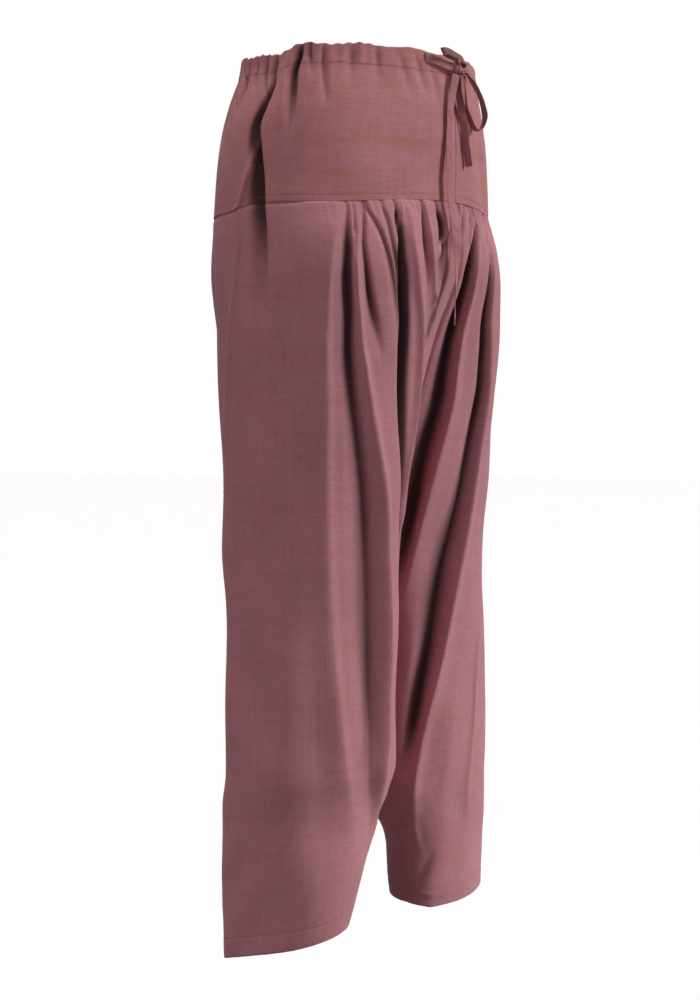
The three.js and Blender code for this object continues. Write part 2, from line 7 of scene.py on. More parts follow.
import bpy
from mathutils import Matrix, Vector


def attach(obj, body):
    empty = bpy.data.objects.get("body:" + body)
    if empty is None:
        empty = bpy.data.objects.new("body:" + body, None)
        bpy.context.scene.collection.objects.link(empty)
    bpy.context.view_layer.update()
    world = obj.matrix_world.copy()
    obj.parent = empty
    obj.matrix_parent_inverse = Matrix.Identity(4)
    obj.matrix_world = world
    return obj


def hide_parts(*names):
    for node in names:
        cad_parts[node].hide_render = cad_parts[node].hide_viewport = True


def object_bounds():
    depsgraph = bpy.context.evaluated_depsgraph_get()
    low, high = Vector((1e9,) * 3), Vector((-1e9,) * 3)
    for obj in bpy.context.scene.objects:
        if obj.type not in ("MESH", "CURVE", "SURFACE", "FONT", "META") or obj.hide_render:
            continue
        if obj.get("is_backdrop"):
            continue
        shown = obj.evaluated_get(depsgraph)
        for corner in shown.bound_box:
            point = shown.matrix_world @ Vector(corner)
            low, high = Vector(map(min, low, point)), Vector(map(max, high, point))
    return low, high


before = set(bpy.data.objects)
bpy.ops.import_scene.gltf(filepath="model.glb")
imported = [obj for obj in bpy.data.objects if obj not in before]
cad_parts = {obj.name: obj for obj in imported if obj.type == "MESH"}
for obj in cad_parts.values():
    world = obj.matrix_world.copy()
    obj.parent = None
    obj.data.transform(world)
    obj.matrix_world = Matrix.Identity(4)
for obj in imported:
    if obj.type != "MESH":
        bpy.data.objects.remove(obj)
cad_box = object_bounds()
print("CAD nodes:", ", ".join(sorted(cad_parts)))

# %% [markdown]
# The tools are Blender's own, and numpy for the surfaces. Sizes are written in millimetres, with Z
# up and the front towards minus Y, and turned into metres only where a mesh is made.

# %% Tools
import math

import bmesh
import bpy
import numpy as np
from mathutils import Vector

MM = 0.001

# %% [markdown]
# The photograph looks at the trousers from their right front side, a little above the middle.
# A camera could be placed by eye, but here its distance, height and lens were worked out from the
# outline, so that each crease can be put where the photograph shows it.

# %% Camera
PHOTO_WIDTH = 700  # pixels
PHOTO_HEIGHT = 1000
FOCAL_PIXELS = 2098  # the lens, as the distance in pixels from eye to picture
VIEW_AZIMUTH = -56.0  # degrees round from the front, towards the wearer's right
DISTANCE = 2.450  # metres from the waist's middle, level
EYE_HEIGHT = -0.435  # metres above the waist's middle
HORIZON_ROW = 443  # pixel row at the eye's own height
AXIS_COLUMN = 353  # pixel column of the waist's middle

camera_data = bpy.data.cameras.new("camera")
camera_data.sensor_width = 36
camera_data.lens = 36 * FOCAL_PIXELS / PHOTO_HEIGHT
camera_data.clip_end = 200
camera = bpy.data.objects.new("camera", camera_data)
bpy.context.scene.collection.objects.link(camera)
azimuth = math.radians(VIEW_AZIMUTH)
camera.location = (DISTANCE * math.sin(azimuth), -DISTANCE * math.cos(azimuth), EYE_HEIGHT)
pitch = math.atan((PHOTO_HEIGHT / 2 - HORIZON_ROW) / FOCAL_PIXELS)
aside = math.atan((AXIS_COLUMN - PHOTO_WIDTH / 2) / FOCAL_PIXELS)
camera.rotation_euler = (math.pi / 2 - pitch, 0, azimuth + aside)
bpy.context.scene.camera = camera
print("camera:", round(camera_data.lens, 2), "mm lens,", round(math.degrees(pitch), 2), "degrees down")

# %% [markdown]
# A smooth surface is a function of two numbers. Numpy works out all its points at once, on a grid,
# and one function puts the grid into a mesh. Loops over single points would be slow and hard to read.

# %% Shape helpers
def ease(x):
    """Goes smoothly from 0 to 1 as x does: three x squared less two x cubed."""
    x = np.clip(x, 0, 1)
    return x * x * (3 - 2 * x)


def table(columns, *rows):
    """A table of numbers, with its columns' names."""
    return {"columns": columns.split(), "rows": np.array(rows, float)}


def smooth_rows(rows, z):
    """Values at height z: a cubic through the rows with flat tangents at turning points.

    The first column falls down the table. Each inner tangent is the harmonic mean of the slopes on
    its two sides, or 0 where they differ in sign, so the curve never overshoots.
    """
    x, y = rows[::-1, 0], rows[::-1, 1:]
    step = np.diff(x)[:, None]
    slope = np.diff(y, axis=0) / step
    product, total = slope[1:] * slope[:-1], slope[1:] + slope[:-1]
    tangent = np.zeros_like(y)
    tangent[1:-1] = np.where(product > 0, 2 * product / np.where(total == 0, 1, total), 0)
    tangent[0], tangent[-1] = slope[0], slope[-1]
    z = np.clip(z, x[0], x[-1])
    i = np.clip(np.searchsorted(x, z) - 1, 0, len(x) - 2)
    h = step[i]
    s = ((z - x[i]) / (x[i + 1] - x[i]))[..., None]
    low = y[i] * (1 + 2 * s) * (1 - s) ** 2 + y[i + 1] * s * s * (3 - 2 * s)
    return low + h * (tangent[i] * s * (1 - s) ** 2 - tangent[i + 1] * s * s * (1 - s))


def new_object(name, vertices, faces, material, uv=None):
    """An object from arrays of points in metres and of faces, with smooth shading and a UV map."""
    mesh = bpy.data.meshes.new(name)
    mesh.from_pydata(vertices.reshape(-1, 3).tolist(), [], [f for part in faces for f in part.tolist()])
    mesh.polygons.foreach_set("use_smooth", np.ones(len(mesh.polygons), bool))
    if uv is not None:
        corner = np.empty(len(mesh.loops), np.int32)
        mesh.loops.foreach_get("vertex_index", corner)
        mesh.uv_layers.new(name="cloth").data.foreach_set("uv", uv.reshape(-1, 2)[corner].ravel())
    mesh.materials.append(material)
    mesh.update()
    piece = bpy.data.objects.new(name, mesh)
    bpy.context.scene.collection.objects.link(piece)
    return piece


def grid_faces(index, closed_down=False, closed_across=False):
    """Four-sided faces between neighbours in a grid of vertex numbers."""
    if closed_down:
        index = np.vstack([index, index[:1]])
    if closed_across:
        index = np.hstack([index, index[:, :1]])
    corners = (index[:-1, :-1], index[1:, :-1], index[1:, 1:], index[:-1, 1:])
    return np.stack(corners, -1).reshape(-1, 4)


# %% [markdown]
# The cloth is handloom cotton, woven from a mauve thread one way and a rust one the other. To the
# eye that gives a matt rose with a faint sheen, fine lines where threads are thicker, and soft rust
# bars where more of the rust thread shows. A scan could give that, but a few noises on the cloth's
# own UV map, whose unit is a metre of cloth, follow each fold and keep their real size.

# %% Material helpers
def linear(colour):
    """An sRGB hex colour as linear light: c / 12.92 below 0.04045, else ((c + 0.055) / 1.055) ** 2.4."""
    parts = np.array([int(colour[i : i + 2], 16) / 255 for i in (1, 3, 5)])
    light = np.where(parts <= 0.04045, parts / 12.92, ((parts + 0.055) / 1.055) ** 2.4)
    return (*light.tolist(), 1.0)


def add(tree, kind, inputs=None, **settings):
    """Adds one node with its settings. Each input is a value, or another node's output to link."""
    node = tree.nodes.new("ShaderNode" + kind)
    for name, value in settings.items():
        setattr(node, name, value)
    for name, value in (inputs or {}).items():
        if isinstance(value, bpy.types.NodeSocket):
            tree.links.new(value, node.inputs[name])
        else:
            node.inputs[name].default_value = value
    return node


def new_material(name, **finish):
    """An empty material with a Principled shader, whose plain values are set on its own sockets."""
    material = bpy.data.materials.new(name)
    material.use_nodes = True
    tree = material.node_tree
    tree.nodes.clear()
    shader = add(tree, "BsdfPrincipled", finish)
    output = add(tree, "OutputMaterial", {"Surface": shader.outputs["BSDF"]})
    return material, tree, shader


def stretched_noise(tree, place, across, along, detail=2.0, shift=0.0):
    """A flat noise whose blots are about `across` wide and `along` high, in millimetres."""
    scale = (1 / (across * MM), 1 / (along * MM), 1)
    mapping = add(tree, "Mapping", {"Vector": place, "Scale": scale, "Location": (shift, shift, 0)})
    wanted = {"Vector": mapping.outputs[0], "Scale": 1.0, "Detail": detail, "Roughness": 0.55}
    return add(tree, "TexNoise", wanted, noise_dimensions="2D").outputs["Fac"]


def spread(tree, value, low, high, to_low=0.0, to_high=1.0):
    """Maps a value's range from low..high to another, and stops at both ends."""
    wanted = {"Value": value, "From Min": low, "From Max": high, "To Min": to_low, "To Max": to_high}
    return add(tree, "MapRange", wanted).outputs[0]


def maths(tree, operation, a, b):
    """One sum, product or the like of two values."""
    return add(tree, "Math", {0: a, 1: b}, operation=operation).outputs[0]


# %% [markdown]
# One function makes the cotton for legs, yoke and tape, which are cut from one cloth but show the
# rust bars at different strengths. Cotton is matt: roughness 0.86, a weak highlight, a little sheen
# from its loose fibres. Deep folds are darker than a render's few light bounces make them, so shade
# is painted into the colour there: the "hollow" attribute of the shapes below dims it, in the folds
# and on the tape's loops and short tail.

# %% Handloom cotton
def handloom_cotton(name, ground, rust, bar_share, streak_share):
    """Ground colour, rust bars along the weft, lines one thread wide both ways, and painted shade.

    Threads lie 0.35 mm apart, too fine to show, so their lines are drawn 0.9 mm apart.
    """
    finish = {"Roughness": 0.86, "Specular IOR Level": 0.15, "Sheen Weight": 0.12, "Sheen Roughness": 0.45}
    material, tree, shader = new_material(name, **finish)
    shader.inputs["Sheen Tint"].default_value = linear("#f3dfe2")
    place = add(tree, "UVMap", uv_map="cloth").outputs[0]
    bars = spread(tree, stretched_noise(tree, place, 34, 3.6, 3.0), 0.44, 0.80)
    patches = spread(tree, stretched_noise(tree, place, 46, 20, 3.0, 3.7), 0.40, 0.74)
    bands = spread(tree, stretched_noise(tree, place, 190, 12, 1.5, 8.1), 0.50, 0.76)
    warp_bars = spread(tree, stretched_noise(tree, place, 2.0, 38, 2.0, 1.9), 0.50, 0.80)
    rusty = maths(tree, "MULTIPLY", bars, bar_share)
    rusty = maths(tree, "ADD", rusty, maths(tree, "MULTIPLY", patches, bar_share * 0.75))
    rusty = maths(tree, "ADD", rusty, maths(tree, "MULTIPLY", bands, bar_share * 0.55))
    rusty = maths(tree, "ADD", rusty, maths(tree, "MULTIPLY", warp_bars, streak_share))
    warp = stretched_noise(tree, place, 0.85, 30, 1.0, 5.3)
    weft = stretched_noise(tree, place, 16, 0.85, 1.0, 2.7)
    wide_warp = stretched_noise(tree, place, 5.5, 160, 2.0, 6.6)
    tone = maths(tree, "ADD", spread(tree, warp, 0.25, 0.75, -0.06, 0.06), 1.0)
    tone = maths(tree, "ADD", tone, spread(tree, weft, 0.25, 0.75, -0.07, 0.07))
    tone = maths(tree, "ADD", tone, spread(tree, wide_warp, 0.25, 0.75, -0.03, 0.03))
    mixed = add(tree, "Mix", {0: rusty, 6: linear(ground), 7: linear(rust)}, data_type="RGBA")
    # Painted shade: the "hollow" attribute darkens the colour by up to 84 percent.
    deep = maths(tree, "MULTIPLY", add(tree, "Attribute", attribute_name="hollow").outputs["Fac"], -0.84)
    tone = maths(tree, "MULTIPLY", tone, maths(tree, "ADD", deep, 1.0))
    toned = add(tree, "VectorMath", {0: mixed.outputs[2], "Scale": tone}, operation="SCALE")
    tree.links.new(toned.outputs[0], shader.inputs["Base Color"])
    threads = maths(tree, "ADD", maths(tree, "MULTIPLY", warp, 0.6), maths(tree, "MULTIPLY", weft, 0.4))
    bump = add(tree, "Bump", {"Height": threads, "Strength": 0.35, "Distance": 0.0005})
    tree.links.new(bump.outputs[0], shader.inputs["Normal"])
    print("material:", name)
    return material


leg_cotton = handloom_cotton("handloom_cotton_legs", "#bb838d", "#b2705f", 0.24, 0.16)
yoke_cotton = handloom_cotton("handloom_cotton_yoke", "#bb8289", "#b66e59", 0.36, 0.14)
tape_cotton = handloom_cotton("handloom_cotton_tape", "#b87f86", "#b06e60", 0.30, 0.20)

# %% [markdown]
# The sewing thread is mercerised cotton a shade darker than the cloth. Mercerising swells the
# fibre, so the thread is smoother than the cloth and has a small soft shine along it.

# %% Sewing thread
sewing_thread, tree, shader = new_material("mercerised_cotton_thread", Roughness=0.55)
place = add(tree, "TexCoord").outputs["Object"]
twist = add(tree, "TexNoise", {"Vector": place, "Scale": 900.0, "Detail": 1.0}).outputs["Fac"]
shades = {0: twist, 6: linear("#8d5660"), 7: linear("#a56c72")}
tree.links.new(add(tree, "Mix", shades, data_type="RGBA").outputs[2], shader.inputs["Base Color"])
print("material:", sewing_thread.name)

# %% [markdown]
# The drawstring is a flat tape cut from the same cloth, folded and sewn. It comes out of two slits
# in the waistband, is knotted at the centre front, and makes two loops and two free ends. A curve
# with a bevel could draw it, but a tape twists as it hangs, so its rectangle is carried along the
# route by hand, with the turn of its width given at each point.

# %% Routes of the tape
TAPE_RIGHT = table(
    "x y z turn upright",
    (-46.5, -129.2, -8, 0, 1),
    (-38, -133.5, -9, 0, 1),
    (-27, -137, -11, 0, 1),
    (-17, -139.5, -13, 0, 1),
    (-8.8, -141, -13.5, 0, 1),
)
TAPE_LEFT = table(
    "x y z turn upright",
    (46.5, -129.2, -8, 0, 1),
    (38, -133.5, -9, 0, 1),
    (26, -137, -11, 0, 1),
    (15, -139.5, -12.5, 0, 1),
    (6.8, -141, -13.5, 0, 1),
)
BOW_LOOP_UPPER = table(
    "x y z turn upright",
    (-4, -145.2, -7, 90, 0.72),
    (-16, -143.5, -3.2, 90, 0.72),
    (-28, -142.4, -1.5, 90, 0.72),
    (-35, -143, -1.2, 90, 0.72),
    (-37, -145, -1, 90, 0.72),
    (-35, -147, -0.6, 90, 0.72),
    (-29, -147.6, 0, 90, 0.72),
    (-16, -148.2, -1.8, 90, 0.72),
    (-4, -148.8, -4.2, 90, 0.72),
    (3.5, -148.5, -8, 90, 0.6),
    (3, -145, -12, 90, 0.5),
)
BOW_LOOP_SIDE = table(
    "x y z turn upright",
    (3, -148.4, -16, 40, 0.4),
    (8, -151, -22, 60, 0.2),
    (21, -154.5, -36, 66, 0),
    (34, -154.5, -51, 66, 0),
    (46, -150, -66, 66, 0),
    (46, -145.5, -76, 66, 0),
    (38, -144.5, -79, 66, 0),
    (26, -145.5, -74, 62, 0),
    (11, -147.5, -58, 48, 0),
    (3, -150, -38, 36, 0.1),
    (2.5, -148, -22.5, 0, 0.4),
)
TAIL_SHORT = table(
    "x y z turn upright",
    (0, -141.5, -22.7, -20, 0),
    (1, -142, -34, -20, 0),
    (4.5, -143.3, -54, -28, 0),
    (10, -143.9, -76, -66, 0),
    (15.5, -144.1, -98, -92, 0),
    (21, -144.2, -122, -82, 0),
)
TAIL_LONG = table(
    "x y z turn upright",
    (-5, -143, -21.2, -30, 0),
    (-11, -143.9, -35, -30, 0),
    (-18.5, -144.1, -60, -16, 0),
    (-21.5, -144.3, -90, -14, 0),
    (-22.5, -144.4, -120, -14, 0),
    (-22.5, -145.2, -150, -14, 0),
    (-23, -149, -176, -16, 0),
    (-24.5, -154, -200, -28, 0),
    (-24.5, -156.5, -224, -30, 0),
    (-25.5, -156.5, -248, 20, 0),
    (-26, -155, -276, 34, 0),
    (-26, -154, -304, 34, 0),
)
TAPE_WIDTH = 9
TAPE_THICKNESS = 1.2


# %% [markdown]
# A route has few rows, and the tape needs many points. A curve through the rows that
# never swings wide of them gives these, and the tape's section is then set square to it at each.

# %% The tape's own shape
def route_points(route, spacing=1.2):
    """Points along a route, evenly spaced, with their direction, turn and uprightness.

    Between two rows the curve is a centripetal Catmull-Rom: a cubic whose tangents come from the
    neighbouring rows, weighed by the square root of the distances.
    """
    rows = route["rows"]
    p = rows[:, :3]
    p = np.vstack([2 * p[0] - p[1], p, 2 * p[-1] - p[-2]])
    gap = np.sqrt(np.linalg.norm(np.diff(p, axis=0), axis=1))[:, None]
    before, here, after = gap[:-2], gap[1:-1], gap[2:]
    p0, p1, p2, p3 = p[:-3], p[1:-2], p[2:-1], p[3:]
    t1 = ((p1 - p0) / before - (p2 - p0) / (before + here) + (p2 - p1) / here) * here
    t2 = ((p2 - p1) / here - (p3 - p1) / (here + after) + (p3 - p2) / after) * here
    fine = np.linspace(0, len(rows) - 1, 2001)

    def at(t):
        k = np.minimum(t.astype(int), len(rows) - 2)
        s = (t - k)[:, None]
        a, b = p1[k], p2[k]
        bend = (-3 * a + 3 * b - 2 * t1[k] - t2[k]) * s**2 + (2 * a - 2 * b + t1[k] + t2[k]) * s**3
        return a + t1[k] * s + bend

    along = np.append(0, np.cumsum(np.linalg.norm(np.diff(at(fine), axis=0), axis=1)))
    count = max(int(along[-1] / spacing), 12)
    t = np.interp(np.linspace(0, along[-1], count + 1), along, fine)
    line = at(t)
    direction = np.gradient(line, axis=0)
    direction /= np.linalg.norm(direction, axis=1, keepdims=True)
    whole = np.arange(len(rows))
    turn = np.radians(np.interp(t, whole, rows[:, 3]))
    upright = np.interp(t, whole, rows[:, 4])
    return line, direction, turn, upright, along[-1]


def tape(name, route, material, bare_end=False, painted_shade=0):
    """A flat tape: its section, a rectangle with soft corners, carried along a route.

    Across lies level at its turn and stands up as upright nears 1, made square to the route. The
    section runs round as cosine and sine, each pushed towards a square, with a sewn groove near
    each long edge. The last argument, from 0 to 1, is painted shade: it sets the "hollow" attribute
    that darkens a stretch lying in the shade of others, such as a loop.
    """
    line, along, turn, upright, length = route_points(route)
    across = np.stack([np.cos(turn) * (1 - upright), np.sin(turn) * (1 - upright), upright], -1)
    across -= along * np.sum(across * along, -1, keepdims=True)
    across /= np.linalg.norm(across, axis=1, keepdims=True)
    face = np.cross(along, across)
    angle = np.linspace(0, 2 * np.pi, 28, endpoint=False) + 0.01
    c, s = np.cos(angle), np.sin(angle)
    wide = np.sign(c) * np.abs(c) ** 0.6 * TAPE_WIDTH / 2
    groove = 0.22 * np.exp(-(((np.abs(wide) - 3.3) / 0.45) ** 2))
    thick = np.sign(s) * (np.abs(s) ** 0.35 * TAPE_THICKNESS / 2 - groove)
    distance = np.linspace(0, length, len(line))[:, None]
    ripple = 0.22 * np.sin(distance / 6.1 + wide / 3) + 0.16 * np.sin(distance / 3.3 - wide / 2)
    size = np.ones(len(line))
    size[0] = size[-1] = 0.8
    if bare_end:
        size[-3:-1] = 1.03
    points = (
        line[:, None]
        + across[:, None] * (wide[None] * size[:, None])[..., None]
        + face[:, None] * ((thick[None] + ripple) * size[:, None])[..., None]
    )
    count = len(angle)
    index = np.arange(points.shape[0] * count).reshape(-1, count)
    ends = [index[:1, ::-1], index[-1:, :]]
    uv = np.stack(np.broadcast_arrays(wide[None] * MM, distance * MM), -1)
    faces = [grid_faces(index, closed_across=True), *ends]
    piece = new_object(name + "_cloth", points * MM, faces, material, uv)
    outwards(piece)
    # Painted shade, even along the whole tape, in its "hollow" attribute.
    shaded = np.full(points.shape[0] * count, float(painted_shade))
    piece.data.attributes.new("hollow", "FLOAT", "POINT").data.foreach_set("value", shaded)
    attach(piece, "root")
    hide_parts(name)
    print(name, "is", round(length, 1), "mm long")
    return piece, line * MM, length * MM


def outwards(piece):
    """Turns a closed piece's faces outwards if its signed volume is below zero."""
    mesh = piece.data
    mesh.calc_loop_triangles()
    corner = np.empty(len(mesh.loop_triangles) * 3, np.int32)
    mesh.loop_triangles.foreach_get("vertices", corner)
    place = np.empty(len(mesh.vertices) * 3)
    mesh.vertices.foreach_get("co", place)
    a, b, c = place.reshape(-1, 3)[corner].reshape(-1, 3, 3).transpose(1, 0, 2)
    if np.sum(a * np.cross(b, c)) < 0:
        mesh.flip_normals()


# %% [markdown]
# Both tapes run from their slit to the knot, both loops go out and back, and the two tails hang to
# their cut ends. The drawstring inside the casing can't be seen and is left out.

# %% Make the tape
tape_right, _, _ = tape("tape_right", TAPE_RIGHT, tape_cotton)
tape_left, _, _ = tape("tape_left", TAPE_LEFT, tape_cotton)
# The loops and the short tail get painted shade, as they lie in the shade of the knot and of each other.
loop_upper, upper_line, upper_length = tape("bow_loop_upper", BOW_LOOP_UPPER, tape_cotton, painted_shade=0.65)
loop_side, side_line, side_length = tape("bow_loop_side", BOW_LOOP_SIDE, tape_cotton, painted_shade=0.4)
tail_short, short_line, short_length = tape("tail_short", TAIL_SHORT, tape_cotton, bare_end=True, painted_shade=0.12)
tail_long, long_line, long_length = tape("tail_long", TAIL_LONG, tape_cotton, bare_end=True)

# %% [markdown]
# The knot is the same tape wound over itself and pulled tight. Real turns of tape would cut through
# each other at this size, so it is one closed lump, pinched where the turns meet, with the outer
# turn standing up as a band over the middle.

# %% The knot
def knot():
    """A ball with its three half sizes; the outer turn lifts it where x is small, creases cut it in.

    Latitude runs from pole to pole and longitude all round. Slant is the distance from the middle
    plane, which leans a little. Lift is 0.75 mm times a smooth step that is 1 within 3.1 mm of that
    plane and 0 beyond 4.4 mm, plus thin folds along the turn, less a groove at the band's edges.
    """
    centre = np.array([-1, -141.5, -14])
    half = np.array([7.4, 5.2, 6.8])
    lat = np.linspace(0, np.pi, 42)[:, None]
    lon = np.linspace(0, 2 * np.pi, 72, endpoint=False)[None]
    x, y, z = np.cos(lat), np.sin(lat) * np.cos(lon), np.sin(lat) * np.sin(lon)
    unit = np.stack(np.broadcast_arrays(x, y, z), -1)
    soft = np.sign(unit) * np.abs(unit) ** 0.85
    place = soft * half
    slant = place[..., 0] + 0.28 * place[..., 2]
    band = ease((4.4 - np.abs(slant)) / 1.3)
    folds = 0.18 * np.sin(slant * 3.4 + 0.8 * np.sin(3 * lon)) * band
    pinch = 0.25 * np.exp(-(((np.abs(slant) - 4.5) / 0.8) ** 2))
    place = place + unit * (0.75 * band + folds - pinch)[..., None]
    index = np.arange(place.shape[0] * place.shape[1]).reshape(place.shape[:2])
    uv = np.stack(np.broadcast_arrays(slant * MM, lon * 0.006 + slant * 0), -1)
    faces = [grid_faces(index, closed_across=True)]
    piece = new_object("bow_knot_cloth", (place + centre) * MM, faces, tape_cotton, uv)
    outwards(piece)
    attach(piece, "root")
    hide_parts("bow_knot")
    return piece


bow_knot = knot()
print("knot:", len(bow_knot.data.polygons), "faces")

# %% [markdown]
# Both tails end bare, as the photograph shows, and both loops go back into the knot.

# %% [markdown]
# The yoke is the smooth band round waist and hips, and each leg is one wide panel sewn into a tube.
# Cloth simulation could drape them, but the creases would fall anywhere. So the body under the
# cloth is a half oval at the hips that turns little by little into a loop round each leg, given at
# a few heights, and the creases are then set into it. "Round" goes from 0 at the centre
# front, or the inseam, round the side at 0.5 and on to 1 at the centre back.

# %% Sections of the yoke and legs
YOKE_TOP = 0
YOKE_SEAM = -176
HEM = -985
HEM_SWING_FROM = -736
HEM_SWING_OVER = 250
CLOTH = 0.9
YOKE_SECTIONS = table(
    "z half_width half_depth centre_y",
    (0, 160, 122, -10),
    (-12, 162, 123, -10),
    (-25, 166, 125, -9),
    (-54, 177, 130, -7),
    (-90, 188, 134, -5),
    (-130, 195, 136, -3),
    (-176, 200, 137, -2),
)

LEG_SECTIONS = table(
    "z half_width half_depth centre_y share_front share_back leg_x leg_half_width leg_half_depth leg_y",
    (-176, 200, 137, -2, 0, 0, 100, 100, 100, -12),
    (-215, 204, 146, -7, 0.06, 0.02, 101, 101, 100, -12),
    (-260, 206, 152, -10, 0.18, 0.07, 102, 102, 100, -12),
    (-310, 206, 153, -12, 0.34, 0.14, 102, 102, 102, -13),
    (-390, 203, 149, -12, 0.5, 0.28, 101, 101, 100, -12),
    (-470, 200, 143, -10, 0.62, 0.45, 100, 100, 98, -11),
    (-560, 198, 138, -6, 0.72, 0.62, 99, 99, 96, -8),
    (-640, 197, 136, -5, 0.8, 0.76, 98.5, 98.5, 95, -8),
    (-720, 198, 135, -5, 0.88, 0.88, 99.5, 99.5, 95, -9),
    (-800, 200, 134, -5, 0.95, 0.96, 101, 101, 93, -10),
)

LOWER_RIGHT = table(
    "z leg_x leg_half_width leg_half_depth leg_y",
    (-835, 101.5, 98.5, 91, -4),
    (-865, 109, 91, 87, -3),
    (-893, 120, 80, 86, -5),
    (-925, 130, 70, 83, -7),
    (-985, 143, 57, 75, -7),
)

LOWER_LEFT = table(
    "z leg_x leg_half_width leg_half_depth leg_y",
    (-835, 103, 97, 78, -21),
    (-865, 112, 86, 66, -28),
    (-893, 122, 78, 58, -31),
    (-925, 130, 72, 53, -31),
    (-985, 136, 70, 48, -30),
)

HEM_RIGHT = table(
    "round z",
    (0, -965),
    (0.15, -962),
    (0.25, -970),
    (0.4, -986),
    (0.5, -995),
    (0.64, -1010),
    (0.8, -1000),
    (1, -975),
)

HEM_LEFT = table(
    "round z",
    (0, -981),
    (0.1, -987),
    (0.2, -983),
    (0.34, -973),
    (0.5, -976),
    (0.75, -980),
    (0.9, -977),
    (1, -981),
)


def hip_oval(round_, s):
    """Half an oval: its angle is round less a half, times 180 degrees, from the front to the back."""
    angle = (round_ - 0.5) * np.pi
    x = s["half_width"] * np.cos(angle)
    y = s["centre_y"] + s["half_depth"] * np.sin(angle)
    return np.stack([x, y], -1)


def leg_loop(round_, s):
    """A whole oval round one leg: its angle is twice round less one, times 180 degrees."""
    angle = (2 * round_ - 1) * np.pi
    x = s["leg_x"] + s["leg_half_width"] * np.cos(angle)
    y = s["leg_y"] + s["leg_half_depth"] * np.sin(angle)
    return np.stack([x, y], -1)


def leg_sections(side):
    """The legs' common rows, and below them this leg's own, where only the loop counts."""
    columns = LEG_SECTIONS["columns"]
    lower = LOWER_RIGHT if side < 0 else LOWER_LEFT
    rows = np.repeat(LEG_SECTIONS["rows"][-1:], len(lower["rows"]), axis=0)
    for k, name in enumerate(lower["columns"]):
        rows[:, columns.index(name)] = lower["rows"][:, k]
    rows[:, columns.index("share_front")] = rows[:, columns.index("share_back")] = 1
    return np.vstack([LEG_SECTIONS["rows"], rows])


def named(columns, values):
    """Each column of values under its name."""
    return {name: values[..., k] for k, name in enumerate(columns[1:])}


def yoke_body(round_, z):
    """Points of the body under the yoke, for the left side: the hip oval at height z."""
    s = named(YOKE_SECTIONS["columns"], smooth_rows(YOKE_SECTIONS["rows"], z))
    return np.concatenate([hip_oval(round_, s), z[..., None]], -1)


def leg_body(side, round_, z):
    """Points of the body under a leg: hip oval plus share times (loop less oval), then the hem's slope.

    The share is a blend of the front's and the back's as round goes from 0.3 to 0.7. Near the
    bottom each point sinks towards the hem's own height at its round, by a smooth step.
    """
    s = named(LEG_SECTIONS["columns"], smooth_rows(leg_sections(side), z))
    share = s["share_front"] + (s["share_back"] - s["share_front"]) * ease((round_ - 0.3) / 0.4)
    oval, loop = hip_oval(round_, s), leg_loop(round_, s)
    hem = (HEM_RIGHT if side < 0 else HEM_LEFT)["rows"]
    level = np.interp(round_, hem[:, 0], hem[:, 1])
    height = z + (level - HEM) * ease((HEM_SWING_FROM - z) / HEM_SWING_OVER)
    return np.concatenate([oval + (loop - oval) * share[..., None], height[..., None]], -1)


# %% [markdown]
# Each crease is a soft trough or ridge that runs down the cloth. A row gives its place round and
# its height, how deep it sets the cloth in, and how far it spreads to the front and to the back, in
# millimetres. Knife pleats are steep on the side of the fold that lies on top and gentle on the
# other, so the two spreads differ.

# %% How a crease shapes the cloth
def crease_depth(creases, round_, z, girth, top):
    """Sum over the creases of depth times a bell: e to the minus (distance / spread) to the 1.7.

    The distance is measured along the cloth, whose length round is girth at each height. Beyond its
    two ends a crease dies out within 9 mm, save at the top edge, where it runs on into the seam. A
    narrow tuck is pressed flat there, to half its depth. The second sum is for how hidden from
    light the cloth is. Its bells are a third wider and squarer, and count 18 mm over the sum of
    both spreads, but at most 1.6, so that wide hollows stay light.
    """
    depth, hidden = np.zeros((2, *round_.shape))
    for crease in creases:
        rows = np.array(crease, float)[:, [1, 0, 2, 3, 4]]
        place, deep, front, back = np.moveaxis(smooth_rows(rows, z[:, 0]), -1, 0)[:, :, None]
        away = (round_ - place) * girth
        far = np.abs(away / np.where(away < 0, front, back))
        start = rows[0, 0] + 9 if rows[0, 0] < top - 12 else top + 99
        fade = ease((start - z) / 9) * ease((z - rows[-1, 0] + 9) / 9)
        pressed = 0.5 + 0.5 * ease((top - z) / 16) if rows[0, 3] + rows[0, 4] < 9 else 1
        depth += deep * fade * pressed * np.exp(-(far**1.7))
        hidden += deep * fade * np.exp(-((far / 1.35) ** 3)) * np.minimum(18 / (front + back), 1.6)
    return np.stack([depth, hidden])


# %% [markdown]
# The creases in view were read off the photograph, each as a line of a few picture points from top
# to bottom. To lay a point on the cloth, a fine grid of places on the body is projected through the
# camera, and the nearest one that faces it is taken. A ray could be shot at the mesh instead, but
# the creases have to be known before the mesh is made.

# %% From the picture to the cloth
LEVEL_ROW = 440  # rows count from here, 3 above the horizon, since the camera leans down a little
TO_CAMERA = np.round([math.sin(azimuth), -math.cos(azimuth)], 3)  # the level direction, X and Y
FINE_ROUND = np.linspace(0, 1, 801)  # places under a millimetre apart round the cloth
FINE_LEVELS = {"leg": np.linspace(YOKE_SEAM, HEM, 541), "yoke": np.linspace(YOKE_TOP, YOKE_SEAM, 177)}
CLOTH_ROUND = 600  # about as much cloth as goes round a leg
HARD_TO_SEE = -300  # above this height the far leg is seen almost edge-on
FACING_AWAY = -0.15  # how far past the outline a place may lie and still be taken


def level_normals(points):
    """The outward direction of each level row of a left-side grid, square to the row."""
    along = np.gradient(points[..., :2], axis=1)
    out = np.stack([along[..., 1], -along[..., 0]], -1)
    return out / np.maximum(np.linalg.norm(out, axis=-1, keepdims=True), 1e-9)


def seam_lift(round_):
    """How much the hip seam rises above its mean level: 12 mm in front, 1.5 aside, -6 mm behind."""
    return 12 - 10.5 * ease(round_ / 0.34) - 7.5 * ease((round_ - 0.47) / 0.14)


